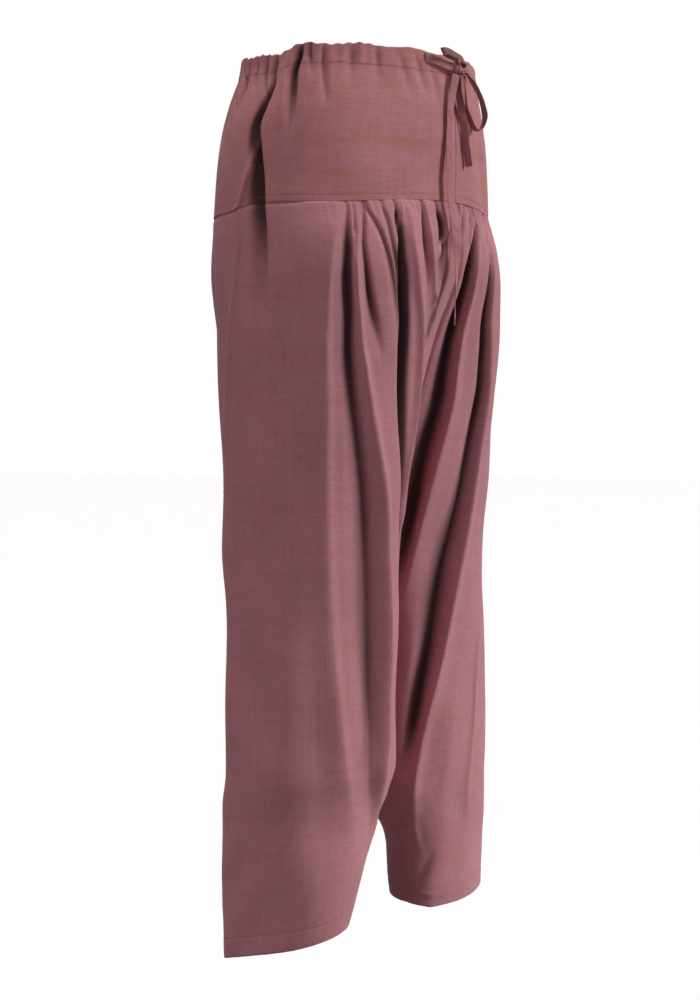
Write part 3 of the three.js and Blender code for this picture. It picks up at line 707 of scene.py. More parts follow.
def spring_out(round_, z):
    """How far a leg springs out below the seam, in front: 3 mm, and none from 254 mm further down."""
    pleated = 1 - ease((round_ - 0.30) / 0.06)
    return 3 * ease((YOKE_SEAM - z) / 70) * ease((z + 430) / 200) * pleated


def fine_places(part, side):
    """Places on the yoke or a leg that face the camera: round, height, point, direction, spring, glance.

    Facing is the outward direction times the direction to the camera. Places just past the outline
    still count, but with a glance of 4 square pixels against them.
    """
    round_, z = np.meshgrid(FINE_ROUND, FINE_LEVELS[part])
    body = leg_body(side, round_, z) if part == "leg" else yoke_body(round_, z)
    spring = spring_out(round_, z) if part == "leg" else np.zeros_like(z)
    body[..., 2] += seam_lift(round_) * ease((z + 260) / 84 if part == "leg" else (-90 - z) / 86)
    normal = level_normals(body)
    body[..., 0] *= side
    normal[..., 0] *= side
    facing = normal @ TO_CAMERA
    near = facing > FACING_AWAY
    glance = np.where(facing > 0.02, 0, 4)
    return [values[near] for values in (round_, z, body, normal, spring, glance)]


def on_cloth(places, column, row, depth):
    """Place round and height of a picture point on the body, set in by the crease's own depth.

    Column and row are the lens's length in pixels times sideways and height, over the distance.
    """
    round_, z, body, normal, spring, glance = places
    x, y = (body[:, :2] + normal * (spring - depth)[:, None]).T
    sideways = y * TO_CAMERA[0] - x * TO_CAMERA[1]
    scale = FOCAL_PIXELS / (DISTANCE / MM - x * TO_CAMERA[0] - y * TO_CAMERA[1])
    across = AXIS_COLUMN + sideways * scale - column
    down = LEVEL_ROW - (body[:, 2] - EYE_HEIGHT / MM) * scale - row
    nearest = np.argmin(across**2 + down**2 + glance)
    return round_[nearest], z[nearest]


def lay_out(part, side, drawn, walls=None, flat=(), steepest=None):
    """Each crease's rows of place round, height, depth and spreads, from its picture points.

    A wall belongs beside a crest: it follows the crest's line at a distance in millimetres. The
    creases named in flat are read off the smooth body, without their depth. Steepest is the most
    that a crease may swing round in a millimetre above HARD_TO_SEE, where the far leg is seen so
    edge-on that small errors grow. Each row ends 1 mm or more below the last. A drawn point is no
    finer than a millimetre, so places are rounded.
    """
    places = fine_places(part, side)
    line = {}
    for name, points in drawn.items():
        sunk = 0 if name in flat else 1
        line[name] = [(row, *on_cloth(places, column, row, deep * sunk)) for column, row, deep, *_ in points]
    creases = []
    for name, points in drawn.items():
        rows = [(*place, *point[2:]) for (_, *place), point in zip(line[name], points)]
        crest, wall = (walls or {}).get(name, (None, []))
        for row, depth, away, front, back in wall:
            at, rounds, heights = np.array(line[crest]).T
            place = np.interp(row, at, rounds) - side * away / CLOTH_ROUND
            rows.append((place, np.interp(row, at, heights), depth, front, back))
        rows = np.array(rows)
        for i in range(1, len(rows)):
            rows[i, 1] = min(rows[i, 1], rows[i - 1, 1] - 1)
        rows[:, 0] = [round(place, 3) for place in rows[:, 0].tolist()]
        rows[:, 1] = np.round(rows[:, 1])
        for i in range(len(rows) - 2, -1, -1) if steepest else ():
            if rows[i, 1] > HARD_TO_SEE:
                most = steepest * (rows[i, 1] - rows[i + 1, 1])
                rows[i, 0] = np.clip(rows[i, 0], rows[i + 1, 0] - most, rows[i + 1, 0] + most)
        rows[:, 0] = [round(place, 3) for place in rows[:, 0].tolist()]
        creases.append(rows)
    print(part, "left" if side > 0 else "right", "has", len(creases), "creases in view")
    return creases


# %% [markdown]
# The columns of a drawn crease are: picture column, picture row, depth in millimetres (below 0 for
# a ridge), spread towards the front, spread towards the back. Those of a wall are: picture row,
# depth, distance from its crest, and the two spreads. The right leg is the near one. Its pleats open
# from the seam, and the deepest runs down to the crotch as the edge of the near panel.

# %% Creases of the right leg
RIGHT_LEG_DRAWN = {
    "side pleat": [
        (268, 206, 14, 3, 16), (268, 230, 11, 4, 17), (267, 260, 8, 5, 18), (265, 300, 5, 7, 18),
        (263, 340, 2.5, 9, 16), (260, 390, 1, 10, 15), (256, 440, 0, 10, 14)
    ],
    "side pleat lip": [
        (238, 208, -3, 3, 6), (236, 247, -3, 3, 6), (233, 285, -3, 3, 6), (230, 319, -3, 3, 6),
        (227, 360, -2.5, 4, 6), (225, 410, -1.5, 5, 6), (224, 450, 0, 6, 6)
    ],
    "first pleat": [
        (347, 207, 2.5, 2, 3), (347, 225, 5, 3, 5), (347, 250, 8, 4, 6), (347, 275, 10, 4, 7)
    ],
    "first pleat lip": [
        (336, 225, -1, 4, 6), (332, 260, -3, 4, 9), (329, 300, -4, 5, 12), (328, 350, -5, 5, 13),
        (328, 400, -5, 6, 14), (328, 450, -5, 7, 14), (329, 550, -5, 7, 15), (332, 620, -5, 8, 16),
        (338, 690, -5, 8, 16), (346, 760, -4.5, 8, 16), (352, 820, -2, 9, 16), (356, 870, 0, 10, 16)
    ],
    "first pleat inner": [(353, 207, 2, 2, 2.5), (355, 240, 3, 1.8, 3), (357, 262, 0, 2, 3)],
    "second tuck": [
        (363, 206, 3, 1.8, 3), (364, 250, 5, 2, 4), (368, 290, 7, 3, 5), (371, 308, 6, 4, 6),
        (375, 328, 4, 5, 7), (380, 350, 1.5, 6, 8), (384, 365, 0, 6, 8)
    ],
    "second lip": [
        (356, 235, -2, 3, 3), (359, 290, -5, 4, 4), (362, 330, -6, 5, 5), (367, 370, -7, 6, 6),
        (373, 405, -7, 8, 7), (380, 440, -8, 9, 8), (387, 480, -9, 8, 9), (391, 530, -10, 7, 9),
        (393, 590, -11, 6, 9), (394, 650, -11, 6, 9), (393.5, 700, -10, 6, 9), (392, 735, -9, 7, 8),
        (388, 765, -7, 8, 7), (382, 800, -5, 8, 7), (376, 835, -2, 8, 8), (372, 860, 0, 8, 8)
    ],
    "third tuck": [
        (366, 206, 3, 2, 3), (375, 220, 4, 2, 4), (383, 237, 4.5, 2, 4), (389, 258, 4.5, 2.5, 5),
        (392, 282, 4, 3, 5), (395, 305, 3, 3, 6), (398, 335, 2, 3, 6), (400, 370, 1, 4, 6),
        (401, 400, 0, 4, 6)
    ],
    "fourth tuck": [
        (382, 206, 3, 1.8, 3), (388, 220, 3.5, 2, 4), (392, 240, 4, 2, 4), (396, 262, 3.5, 2, 4),
        (399, 290, 2, 3, 4), (400, 320, 0, 3, 4)
    ],
    "fifth fold": [
        (397, 206, 4, 2, 3), (400.5, 220, 9, 3, 4), (402, 235, 11, 4, 4), (403.5, 252, 13, 4, 5),
        (404.5, 270, 13, 5, 5), (404.5, 310, 14, 6, 5), (404.5, 350, 15, 7, 6), (404.5, 400, 15, 8, 6),
        (404, 440, 15, 9, 6), (403.5, 477, 15, 9, 6), (402.5, 510, 13, 8, 6), (401, 543, 9, 7, 6),
        (400, 575, 3, 7, 6), (398, 600, 0, 7, 6)
    ],
    "hollow ridge": [
        (404, 207, -3, 2, 2), (403, 225, -4, 2, 2), (401, 247, -3, 2, 2), (401, 262, 0, 2, 2)
    ],
    "centre ridge": [
        (412, 210, -2, 6, 5), (416, 240, -5, 8, 5), (421, 280, -6, 9, 5), (424, 310, -7, 9, 5),
        (424, 350, -7, 9, 5), (421, 390, -7, 8, 5), (416, 430, -6, 8, 5), (411, 470, -5, 7, 5),
        (407, 510, -3, 6, 5), (402, 560, -1.5, 5, 5), (400, 590, 0, 5, 5)
    ],
    "sixth tuck": [
        (421, 207, 4, 1.8, 3), (422, 225, 6, 2, 4), (424, 245, 5, 2, 5), (426, 270, 3, 3, 5),
        (427, 300, 0, 3, 5)
    ],
    "sixth lip": [
        (428, 208, -3, 3, 2.5), (432, 230, -4, 3, 3), (435, 255, -4, 4, 3), (436, 290, -3, 4, 3),
        (435, 325, -1, 4, 3), (434, 340, 0, 4, 3)
    ],
    "dark hollow": [
        (436, 208, 4, 2, 3), (436, 222, 9, 3.5, 4.5), (437, 235, 9, 4, 5), (438, 250, 6, 5, 6),
        (438, 270, 3, 6, 7), (437, 300, 0, 6, 8)
    ],
    "hollow fold": [
        (449, 232, -2, 3, 3), (446, 242, -5, 3, 3), (441, 252, -5, 3, 3), (437, 260, -2, 3, 3),
        (436, 266, 0, 3, 3)
    ],
    "low wedge": [
        (442, 275, -1, 3, 3), (440, 288, -4, 3, 4), (436, 297, -4, 3, 4), (433, 303, -1, 3, 4),
        (432, 306, 0, 3, 4)
    ],
    "inner tuck": [
        (449, 207, 3, 1.8, 2.5), (449, 225, 4, 2, 4), (448, 245, 3, 2, 4), (447, 265, 0, 3, 4)
    ],
    "side soft": [
        (300, 240, 0, 20, 20), (298, 300, 1.5, 22, 22), (297, 380, 2, 24, 22), (297, 460, 1.5, 24, 24),
        (300, 540, 0, 24, 24)
    ],
    "side soft low": [
        (285, 520, 0, 22, 22), (283, 600, -2, 22, 22), (283, 680, -2.5, 24, 24),
        (287, 760, -2, 24, 24), (292, 860, 0, 24, 24)
    ],
    "back soft": [
        (246, 470, 0, 18, 18), (244, 560, 2.5, 18, 18), (246, 650, 3, 18, 18), (250, 760, 2.5, 18, 18),
        (254, 860, 0, 18, 18)
    ],
    "low soft": [
        (318, 640, 0, 20, 20), (316, 720, 2, 20, 20), (320, 800, 2.5, 20, 20), (326, 880, 1.5, 20, 20),
        (328, 930, 0, 20, 20)
    ],
}
RIGHT_LEG_WALLS = {
    "first pleat": ("second lip", [
        (300, 11, 8, 4.5, 8), (350, 11, 10, 5, 10), (400, 10.5, 14, 7, 12), (450, 12, 16, 8, 15),
        (500, 14, 18, 9, 19), (550, 15, 18, 9, 22), (600, 16, 17, 9, 23), (650, 16, 17, 9, 22),
        (700, 15, 16, 9, 21), (735, 12, 15, 9, 20), (765, 9, 15, 9, 19), (795, 5.5, 14, 8, 17),
        (825, 2.5, 13, 8, 15), (855, 0, 12, 8, 13)
    ]),
}
RIGHT_LEG_CREASES = lay_out("leg", -1, RIGHT_LEG_DRAWN, RIGHT_LEG_WALLS, flat=("fifth fold",))

# %% [markdown]
# The left leg is seen past the right one, from its inner side, so its folds look steeper: they swing
# from the seam in towards the crotch.

# %% Creases of the left leg
LEFT_LEG_DRAWN = {
    "first tuck": [(458, 208, 2.5, 1.8, 2), (457, 222, 2, 2, 2.5), (455, 235, 0, 2, 2.5)],
    "second tuck": [
        (463.5, 209, 3, 1.8, 2.5), (459.5, 222, 4.5, 2, 2.5), (456, 247, 3, 2, 3), (452, 275, 0, 2, 3)
    ],
    "third tuck": [
        (469, 212, 3, 1.8, 2.5), (468.5, 224, 4, 1.8, 3), (468, 240, 3, 2, 3), (467, 250, 0, 2, 3)
    ],
    "big dark trough": [(478, 220, 2, 2, 2)],
    "big ridge": [
        (481, 225, -2, 2, 2.5), (480, 245, -4, 2.5, 4), (479.5, 262, -6, 3, 5), (477, 280, -7, 4, 7),
        (472, 300, -7, 4, 8), (465, 325, -8, 4, 10), (459, 360, -9, 5, 11), (454, 400, -9, 5, 12),
        (446, 430, -9, 5, 12), (437, 460, -9, 5, 13), (430, 490, -8, 6, 13), (422, 520, -7, 6, 13),
        (413, 552, -5, 8, 13), (406, 580, -2, 9, 13), (400, 600, 0, 10, 12)
    ],
    "fourth tuck": [
        (485, 218, 4, 1.8, 2.5), (485.5, 232, 5, 2, 3), (486, 244, 2, 2, 3), (486, 252, 0, 2, 3)
    ],
    "fifth tuck": [],
    "long ridge": [
        (491, 245, -2, 3, 4), (493, 300, -4, 3, 5), (492, 350, -5, 4, 6), (489, 400, -6, 4, 7),
        (484, 440, -7, 5, 8), (479, 475, -7.5, 5, 9), (473, 507, -8, 5, 10), (464, 552, -9, 5, 11),
        (455, 600, -9, 5, 11), (446, 643, -9, 5, 11), (436, 682, -9, 5, 10), (429, 708, -8, 5, 10),
        (423, 735, -7, 5, 9), (418, 760, -6, 5, 8), (414, 785, -5.5, 5, 7), (413, 810, -4.5, 5, 6),
        (415, 830, -3.5, 5, 6), (420, 846, -1, 5, 5), (422, 853, 0, 5, 5)
    ],
    "right tuck": [
        (490, 219, 4, 2, 2.5), (492, 233, 5, 2, 3), (494, 247, 5, 2, 3), (496.5, 271, 3, 2, 3),
        (497, 285, 0, 2, 3)
    ],
    "mid soft ridge": [
        (456, 690, 0, 8, 10), (453, 717, -1, 8, 10), (447, 767, -1.5, 8, 10), (443, 800, -1, 8, 10),
        (441, 830, 0, 8, 10)
    ],
    "right edge ridge": [
        (481, 610, 0, 3.5, 5), (480, 636, -2.5, 3.5, 5), (477.5, 683, -3, 3.5, 5),
        (475.5, 717, -3, 3.5, 5), (472, 755, -2.5, 4, 5), (469, 800, -1.5, 5, 6), (468, 830, 0, 6, 6)
    ],
    "dent": [
        (432, 842, 0, 7, 7), (429, 856, 2.5, 9, 6), (424, 868, 3.5, 11, 5), (418, 878, 2.5, 10, 6),
        (414, 890, 0, 8, 7)
    ],
    "dent fold": [
        (397, 868, -2, 4, 4), (405, 866, -3, 4, 4), (413, 863, -3, 4, 4), (421, 858, -3, 4, 4),
        (424, 853, 0, 4, 4)
    ],
    "hem soft": [
        (405, 880, 0, 6, 6), (410, 887, 2, 6, 6), (418, 893, 2.5, 6, 6), (425, 899, 0, 6, 6)
    ],
    "far soft": [
        (462, 730, 0, 14, 14), (460, 780, 1.2, 14, 14), (456, 830, 1.5, 14, 14), (452, 870, 1, 14, 14),
        (450, 895, 0, 14, 14)
    ],
    "low turn out": [
        (416, 735, 0, 8, 30), (412, 770, -5, 9, 36), (410, 800, -7, 10, 40), (414, 835, -7, 10, 40),
        (416, 865, -6, 10, 40), (418, 892, -4, 10, 38)
    ],
    "small tuck": [(473.5, 214, 4, 1.8, 2.5), (473, 226, 3, 1.8, 2.5), (473, 234, 0, 2, 3)],
}
LEFT_LEG_WALLS = {
    "big dark trough": ("big ridge", [
        (228, 7, 4.5, 3, 2.5), (241, 10, 5.5, 5, 2.5), (256, 12, 6.5, 6, 3), (272, 13, 7, 7, 3),
        (285, 13, 7.5, 7, 3.5), (320, 14, 8, 9, 3.5), (350, 15, 8, 12, 3.5), (385, 16, 8, 15, 3.5),
        (405, 16, 8, 17, 4), (425, 16, 8, 18, 4), (445, 16, 8, 18, 4), (465, 15, 8, 17, 4),
        (490, 15, 9, 15, 4), (515, 14, 9, 13, 4), (545, 11, 9, 12, 5), (575, 5, 9, 10, 5),
        (598, 0, 9, 10, 5)
    ]),
    "fifth tuck": ("long ridge", [
        (258, 2, 8, 2, 3), (275, 7, 8, 4, 3), (310, 9, 8, 7, 3), (350, 10, 8, 9, 3.5),
        (395, 11, 8, 11, 3.5), (440, 12, 8, 14, 3.5), (475, 13, 8, 17, 3.5), (505, 14, 8, 19, 3.5),
        (550, 15, 8, 22, 3.5), (600, 16, 8, 24, 3.5), (640, 16, 8, 22, 3.5), (680, 15, 8, 18, 3.5),
        (710, 13, 8, 14, 3.5), (740, 9, 8, 12, 4), (765, 4, 8, 11, 4), (784, 0, 8, 10, 4)
    ]),
}
LEFT_LEG_CREASES = lay_out("leg", 1, LEFT_LEG_DRAWN, LEFT_LEG_WALLS, steepest=0.0009)

# %% [markdown]
# The yoke is smooth but for the tucks that the drawstring pulls up at the waist, most of them on the
# wearer's right, where one grows into a pleat that runs down the side into the leg.

# %% Creases of the yoke
RIGHT_YOKE_DRAWN = {
    "side pleat": [
        (279.5, 50, 5, 2.5, 3.5), (279, 62, 7, 2.5, 4), (277, 84, 9, 3, 5), (272, 105, 13, 3, 7),
        (268, 127, 17, 3, 9), (267.5, 151, 17, 3, 11), (268, 175, 16, 3, 13), (268, 205, 14, 3, 16)
    ],
    "side pleat lip": [
        (272, 55, -3, 2, 4), (268, 79, -4, 2.5, 4), (262, 104, -5, 3, 5), (255, 134, -5, 3, 6),
        (249, 158, -5, 3, 6), (240, 192, -4.5, 3, 6), (237, 205, -4, 3, 6)
    ],
    "waist tuck five": [
        (270, 53, 4, 2, 2.5), (269, 66, 5, 2, 3), (268, 84, 4, 2, 3), (267, 98, 0, 2, 3)
    ],
    "waist tuck six": [
        (261, 55, 3, 2, 2.5), (259, 68, 3.5, 2, 3), (256, 84, 2, 2, 3), (254, 98, 0, 2, 3)
    ],
    "back waist tuck": [
        (251, 58, 5, 2, 3), (250, 66, 5, 2, 3), (248, 80, 3, 2, 3), (246, 94, 0, 2, 3)
    ],
    "waist tuck two": [
        (304, 44, 5, 2.5, 3), (303, 56, 7.5, 2.5, 4.5), (299, 70, 8, 2.5, 5), (297, 85, 7, 3, 5),
        (295, 100, 5, 3, 5), (293, 118, 2.5, 3, 5), (291, 134, 1, 3, 5), (290, 148, 0, 3, 5)
    ],
    "waist tuck two lip": [
        (288, 48, -2, 3, 4), (286, 60, -3, 3, 5), (283, 85, -3, 4, 5), (281, 110, -2, 5, 6),
        (280, 130, 0, 6, 6)
    ],
    "waist tuck three": [
        (312, 44, 5, 2, 3), (312.5, 55, 5, 2, 3), (312, 66, 2, 2.5, 3), (311, 76, 0, 3, 3)
    ],
    "waist tuck four": [
        (324, 46, 2, 2, 3), (325, 62, 3.5, 2, 4), (326, 84, 2.5, 2.5, 5), (327, 104, 0, 3, 6)
    ],
    "waist soft": [(350, 45, 1.5, 5, 6), (351, 58, 3, 5, 6), (350, 78, 1, 7, 8), (350, 92, 0, 8, 8)],
    "waist soft two": [
        (376, 45, 1.2, 4, 5), (377, 60, 2.6, 4, 5), (378, 78, 1, 6, 7), (379, 90, 0, 7, 7)
    ],
    "front pucker": [
        (398, 50, 0.8, 4, 4), (402, 64, 2.2, 4, 5), (407, 80, 2, 5, 6), (411, 98, 0, 6, 6)
    ],
    "front pucker two": [
        (414, 52, 1, 3, 4), (418, 66, 2.6, 3.5, 5), (422, 82, 2.2, 4, 6), (427, 100, 0, 5, 6)
    ],
    "front pucker three": [
        (430, 70, 1, 3, 3.5), (433, 82, 2.2, 3, 4), (436, 98, 1.4, 4, 5), (438, 112, 0, 4, 5)
    ],
    "panel soft": [
        (330, 90, 0, 22, 22), (328, 130, 1.2, 24, 24), (326, 180, 1.2, 24, 24), (325, 205, 1, 24, 24)
    ],
    "panel soft two": [
        (392, 110, 0, 20, 20), (394, 150, 1.4, 20, 20), (396, 190, 1.4, 20, 20), (397, 205, 1, 20, 20)
    ],
    "back waist tuck two": [
        (243, 66, 3, 2, 2.5), (240, 80, 4.5, 2, 3), (238, 95, 3, 2.5, 3), (236, 112, 0, 3, 4)
    ],
}
LEFT_YOKE_DRAWN = {
    "left pucker": [
        (460, 76, 2, 3, 3.5), (461, 90, 2.4, 3.5, 4), (461, 110, 1.4, 4, 5), (460, 128, 0, 5, 5)
    ],
    "left pucker two": [
        (471, 84, 2, 3, 3.5), (473, 98, 2.4, 3, 4), (475, 116, 1.4, 4, 5), (475, 130, 0, 4, 5)
    ],
    "left soft": [
        (476, 130, 0, 10, 10), (479, 160, 1.5, 12, 12), (481, 190, 1.5, 12, 12), (482, 204, 1, 12, 12)
    ],
}
RIGHT_YOKE_CREASES = lay_out("yoke", -1, RIGHT_YOKE_DRAWN)
LEFT_YOKE_CREASES = lay_out("yoke", 1, LEFT_YOKE_DRAWN)

# %% [markdown]
# The far side, the inside and the back of the legs aren't in the picture. They carry the same kinds
# of fold: pleats that fan out below the seam, a few long soft ones down the leg, and none of them
# alike. With no picture to read, the first two columns are the place round and the height.

# %% Creases that the picture doesn't show
LEFT_LEG_HIDDEN = [
    [(0.215, -176, 3, 1.8, 2.5), (0.228, -235, 5, 3, 4), (0.245, -320, 2, 5, 6), (0.26, -390, 0, 6, 8)],
    [(0.243, -176, 3, 1.8, 3), (0.262, -240, 6, 3, 5), (0.29, -340, 4, 6, 9),
     (0.315, -520, 3, 12, 14), (0.33, -640, 0, 14, 14)],
    [(0.27, -176, 2.5, 1.8, 3), (0.292, -235, 4, 3, 5), (0.33, -330, 2, 6, 8), (0.35, -400, 0, 8, 10)],
    [(0.292, -176, 2, 2, 3), (0.33, -240, 3.5, 4, 6), (0.37, -330, 1.5, 8, 10), (0.38, -390, 0, 8, 10)],
    [(0.478, -176, 8, 3, 15), (0.485, -250, 8, 3, 15), (0.49, -320, 5, 4, 14), (0.49, -400, 2, 8, 13),
     (0.495, -460, 0, 10, 13)],
    [(0.546, -176, -3, 3, 6), (0.56, -260, -3, 3, 6), (0.575, -330, -2.5, 4, 6), (0.585, -430, 0, 6, 6)],
    [(0.40, -430, 0, 16, 16), (0.405, -560, 4, 16, 16), (0.41, -700, 5, 18, 16),
     (0.42, -820, 3, 16, 16), (0.425, -900, 0, 14, 14)],
    [(0.56, -480, 0, 18, 18), (0.55, -620, 3, 20, 20), (0.54, -780, 3, 20, 20), (0.53, -920, 0, 18, 18)],
]
BACK_CREASES = [
    [(0.7, -200, 0, 12, 12), (0.71, -260, 4.8, 14, 16), (0.72, -360, 6.4, 16, 20),
     (0.725, -480, 0, 18, 20)],
    [(0.8, -210, 0, 10, 10), (0.79, -300, 5.6, 12, 14), (0.785, -420, 8, 16, 18),
     (0.78, -560, 6.4, 18, 18), (0.775, -700, 0, 18, 18)],
    [(0.875, -220, 0, 10, 10), (0.87, -300, 6.4, 12, 12), (0.862, -420, 9.6, 14, 16),
     (0.86, -560, 8, 16, 16), (0.865, -680, 0, 16, 16)],
    [(0.935, -240, 0, 8, 8), (0.93, -330, 6.4, 9, 10), (0.925, -470, 9.6, 12, 12),
     (0.93, -620, 6.4, 12, 12), (0.94, -740, 0, 12, 12)],
    [(0.66, -560, 0, 16, 16), (0.67, -680, 4.8, 18, 18), (0.69, -820, 6.4, 18, 18), (0.7, -930, 0, 16, 16)],
    [(0.88, -700, 0, 12, 12), (0.87, -780, 4.8, 14, 14), (0.86, -880, 5.6, 14, 14),
     (0.855, -960, 0, 12, 12)],
]
INNER_CREASES = [
    [(0.03, -560, 0, 9, 9), (0.035, -680, 4, 10, 12), (0.045, -800, 4, 10, 12), (0.05, -900, 0, 10, 12)],
    [(0.09, -620, 0, 9, 9), (0.085, -720, -3, 10, 10), (0.08, -830, -2, 10, 10), (0.08, -900, 0, 10, 10)],
]
BACK_YOKE_CREASES = [
    [(0.63, 0, 2, 3, 4), (0.628, -26, 4, 4, 5), (0.62, -60, 2, 5, 7), (0.615, -80, 0, 6, 8)],
    [(0.70, 0, 2, 3, 4), (0.70, -26, 4, 4, 6), (0.702, -70, 3, 6, 8), (0.705, -110, 0, 8, 9)],
    [(0.765, 0, 1.5, 3, 4), (0.768, -24, 3.5, 4, 5), (0.77, -60, 0, 6, 7)],
    [(0.83, 0, 2, 3, 4), (0.828, -28, 4, 4, 6), (0.825, -75, 3, 6, 8), (0.82, -120, 0, 8, 10)],
    [(0.89, 0, 1.5, 3, 4), (0.892, -24, 3.5, 4, 5), (0.895, -56, 0, 5, 6)],
    [(0.945, 0, 2, 3, 4), (0.944, -26, 3.5, 4, 5), (0.94, -80, 0, 6, 8)],
]
LEFT_YOKE_HIDDEN = [
    [(0.20, 0, 0.8, 5, 6), (0.20, -22, 1.6, 5, 6), (0.20, -45, 0, 7, 8)],
    [(0.262, 0, 1.5, 3, 3.5), (0.263, -20, 2.6, 3, 4), (0.262, -42, 0, 4, 5)],
    [(0.345, 0, 2, 3, 3.5), (0.345, -20, 3.8, 3, 5), (0.35, -58, 2, 5, 7), (0.355, -88, 0, 6, 8)],
    [(0.42, 0, 2, 3, 3.5), (0.421, -22, 3.5, 3, 5), (0.425, -60, 0, 5, 7)],
    [(0.485, 0, 5, 3, 6), (0.48, -40, 8, 3, 10), (0.478, -100, 8, 3, 14), (0.478, -176, 8, 3, 15)],
    [(0.515, 0, -1.5, 3, 4), (0.53, -60, -2.5, 3, 6), (0.546, -176, -3, 3, 6)],
]

# %% [markdown]
# A piece of cloth is two skins, the outer one and one a cloth's thickness inside it, closed along
# all four edges. Blender's Solidify could thicken a sheet, but with both skins worked out here the
# folded waist and hem can be rounded, and the whole stays one closed shell.

# %% Grids and shells
SEAM = 0.005  # how far each half stays from the middle plane, in mm


def spaced(*parts):
    """Numbers from a to b in steps of about `step`, one stretch (a, b, step) after another."""
    counts = [max(int(round(abs(b - a) / step)), 1) for a, b, step in parts]
    rows = [np.linspace(a, b, n, endpoint=False) for (a, b, _), n in zip(parts, counts)]
    return np.append(np.concatenate(rows), parts[-1][1])


def true_normals(points):
    """The outward unit normal of a left-side grid: the cross product of its two tangents."""
    down, across = np.gradient(points, axis=0), np.gradient(points, axis=1)
    out = np.cross(down, across)
    return out / np.maximum(np.linalg.norm(out, axis=-1, keepdims=True), 1e-9)


def undulation(round_, z, girth, seed):
    """Slow unevenness of a hand-cut cloth: five sine waves, 60 to 260 mm long, under 1 mm high each."""
    rng = np.random.default_rng(seed)
    total = np.zeros_like(round_)
    for _ in range(5):
        wide, high, height = rng.uniform(60, 190), rng.uniform(140, 260), rng.uniform(0.3, 0.8)
        shift = rng.uniform(0, 6.28, 2)
        total += height * np.sin(round_ * girth * 6.28 / wide + shift[0]) * np.sin(z * 6.28 / high + shift[1])
    return total


def shell(name, side, outer, thickness, uv, material, hidden):
    """Closes a left-side grid into a wall, mirrored by the sign of X for the right side.

    The inner skin is the outer one less thickness times the true normal. One more row beyond each
    of the top and bottom edges, half the thickness out, rounds them off. The "hollow" attribute, which
    darkens the colour as painted shade, goes from 0 to 1 where a crease is 1.5 to 12.5 mm deep.
    """
    normal = true_normals(outer)
    inner = outer - normal * thickness
    inner[..., 0] = np.maximum(inner[..., 0], SEAM)
    half = thickness / 2
    top = (outer[:1] + inner[:1]) / 2 + [0, 0, half]
    foot = (outer[-1:] + inner[-1:]) / 2 - [0, 0, half]
    ring = np.concatenate([outer, foot, inner[::-1], top])
    ring_uv = np.concatenate([uv, uv[-1:], uv[::-1], uv[:1]])
    ring[..., 0] *= side
    index = np.arange(ring.shape[0] * ring.shape[1]).reshape(ring.shape[:2])
    around = grid_faces(index, closed_down=True)
    rows = outer.shape[0]
    ladder = np.concatenate([index[: rows], index[rows + 1 : -1][::-1]], axis=0).reshape(2, rows, -1)
    ends = []
    for column, flip in ((0, 1), (-1, -1)):
        a, b = ladder[0, :, column], ladder[1, :, column]
        quads = np.stack([a[1:], a[:-1], b[:-1], b[1:]], -1)[:, ::flip]
        caps = np.array([[a[0], index[-1, column], b[0]], [a[-1], b[-1], index[rows, column]]])[:, ::flip]
        ends += [quads, caps]
    piece = new_object(name, ring * MM, [around, *ends], material, ring_uv)
    outwards(piece)
    # Painted shade: the colour is darkened in deep creases, on the outer skin only.
    hollow = ease((hidden - 1.5) / 11)
    rings = np.concatenate([hollow, hollow[-1:], 0 * hollow, hollow[:1]])
    piece.data.attributes.new("hollow", "FLOAT", "POINT").data.foreach_set("value", rings.ravel())
    return piece


# %% [markdown]
# The yoke is a tube of smooth cloth, folded down at the top into a casing for the tape and sewn
# 22 mm below the fold. Its lower edge lies over the legs' tucks, with a row of topstitching 7 mm up.

# %% The yoke's surface
CASING = 22
TOPSTITCH = 7
yoke_round = spaced((0, 0.34, 0.0038), (0.34, 0.60, 0.0026), (0.60, 1, 0.0048))
yoke_levels = spaced(
    (YOKE_TOP, -3, 1),
    (-3, -20, 2.2),
    (-20, -24, 0.65),
    (-24, -166, 3.6),
    (-166, -171.5, 0.65),
    (-171.5, YOKE_SEAM, 1),
)
YOKE_ROUND = 0.545  # metres of cloth round half the hips


def groove(z, level, depth, width=1.1):
    """A stitched line pulls the cloth in: a bell of that depth and width at one level."""
    return depth * np.exp(-(((z - level) / width) ** 2))


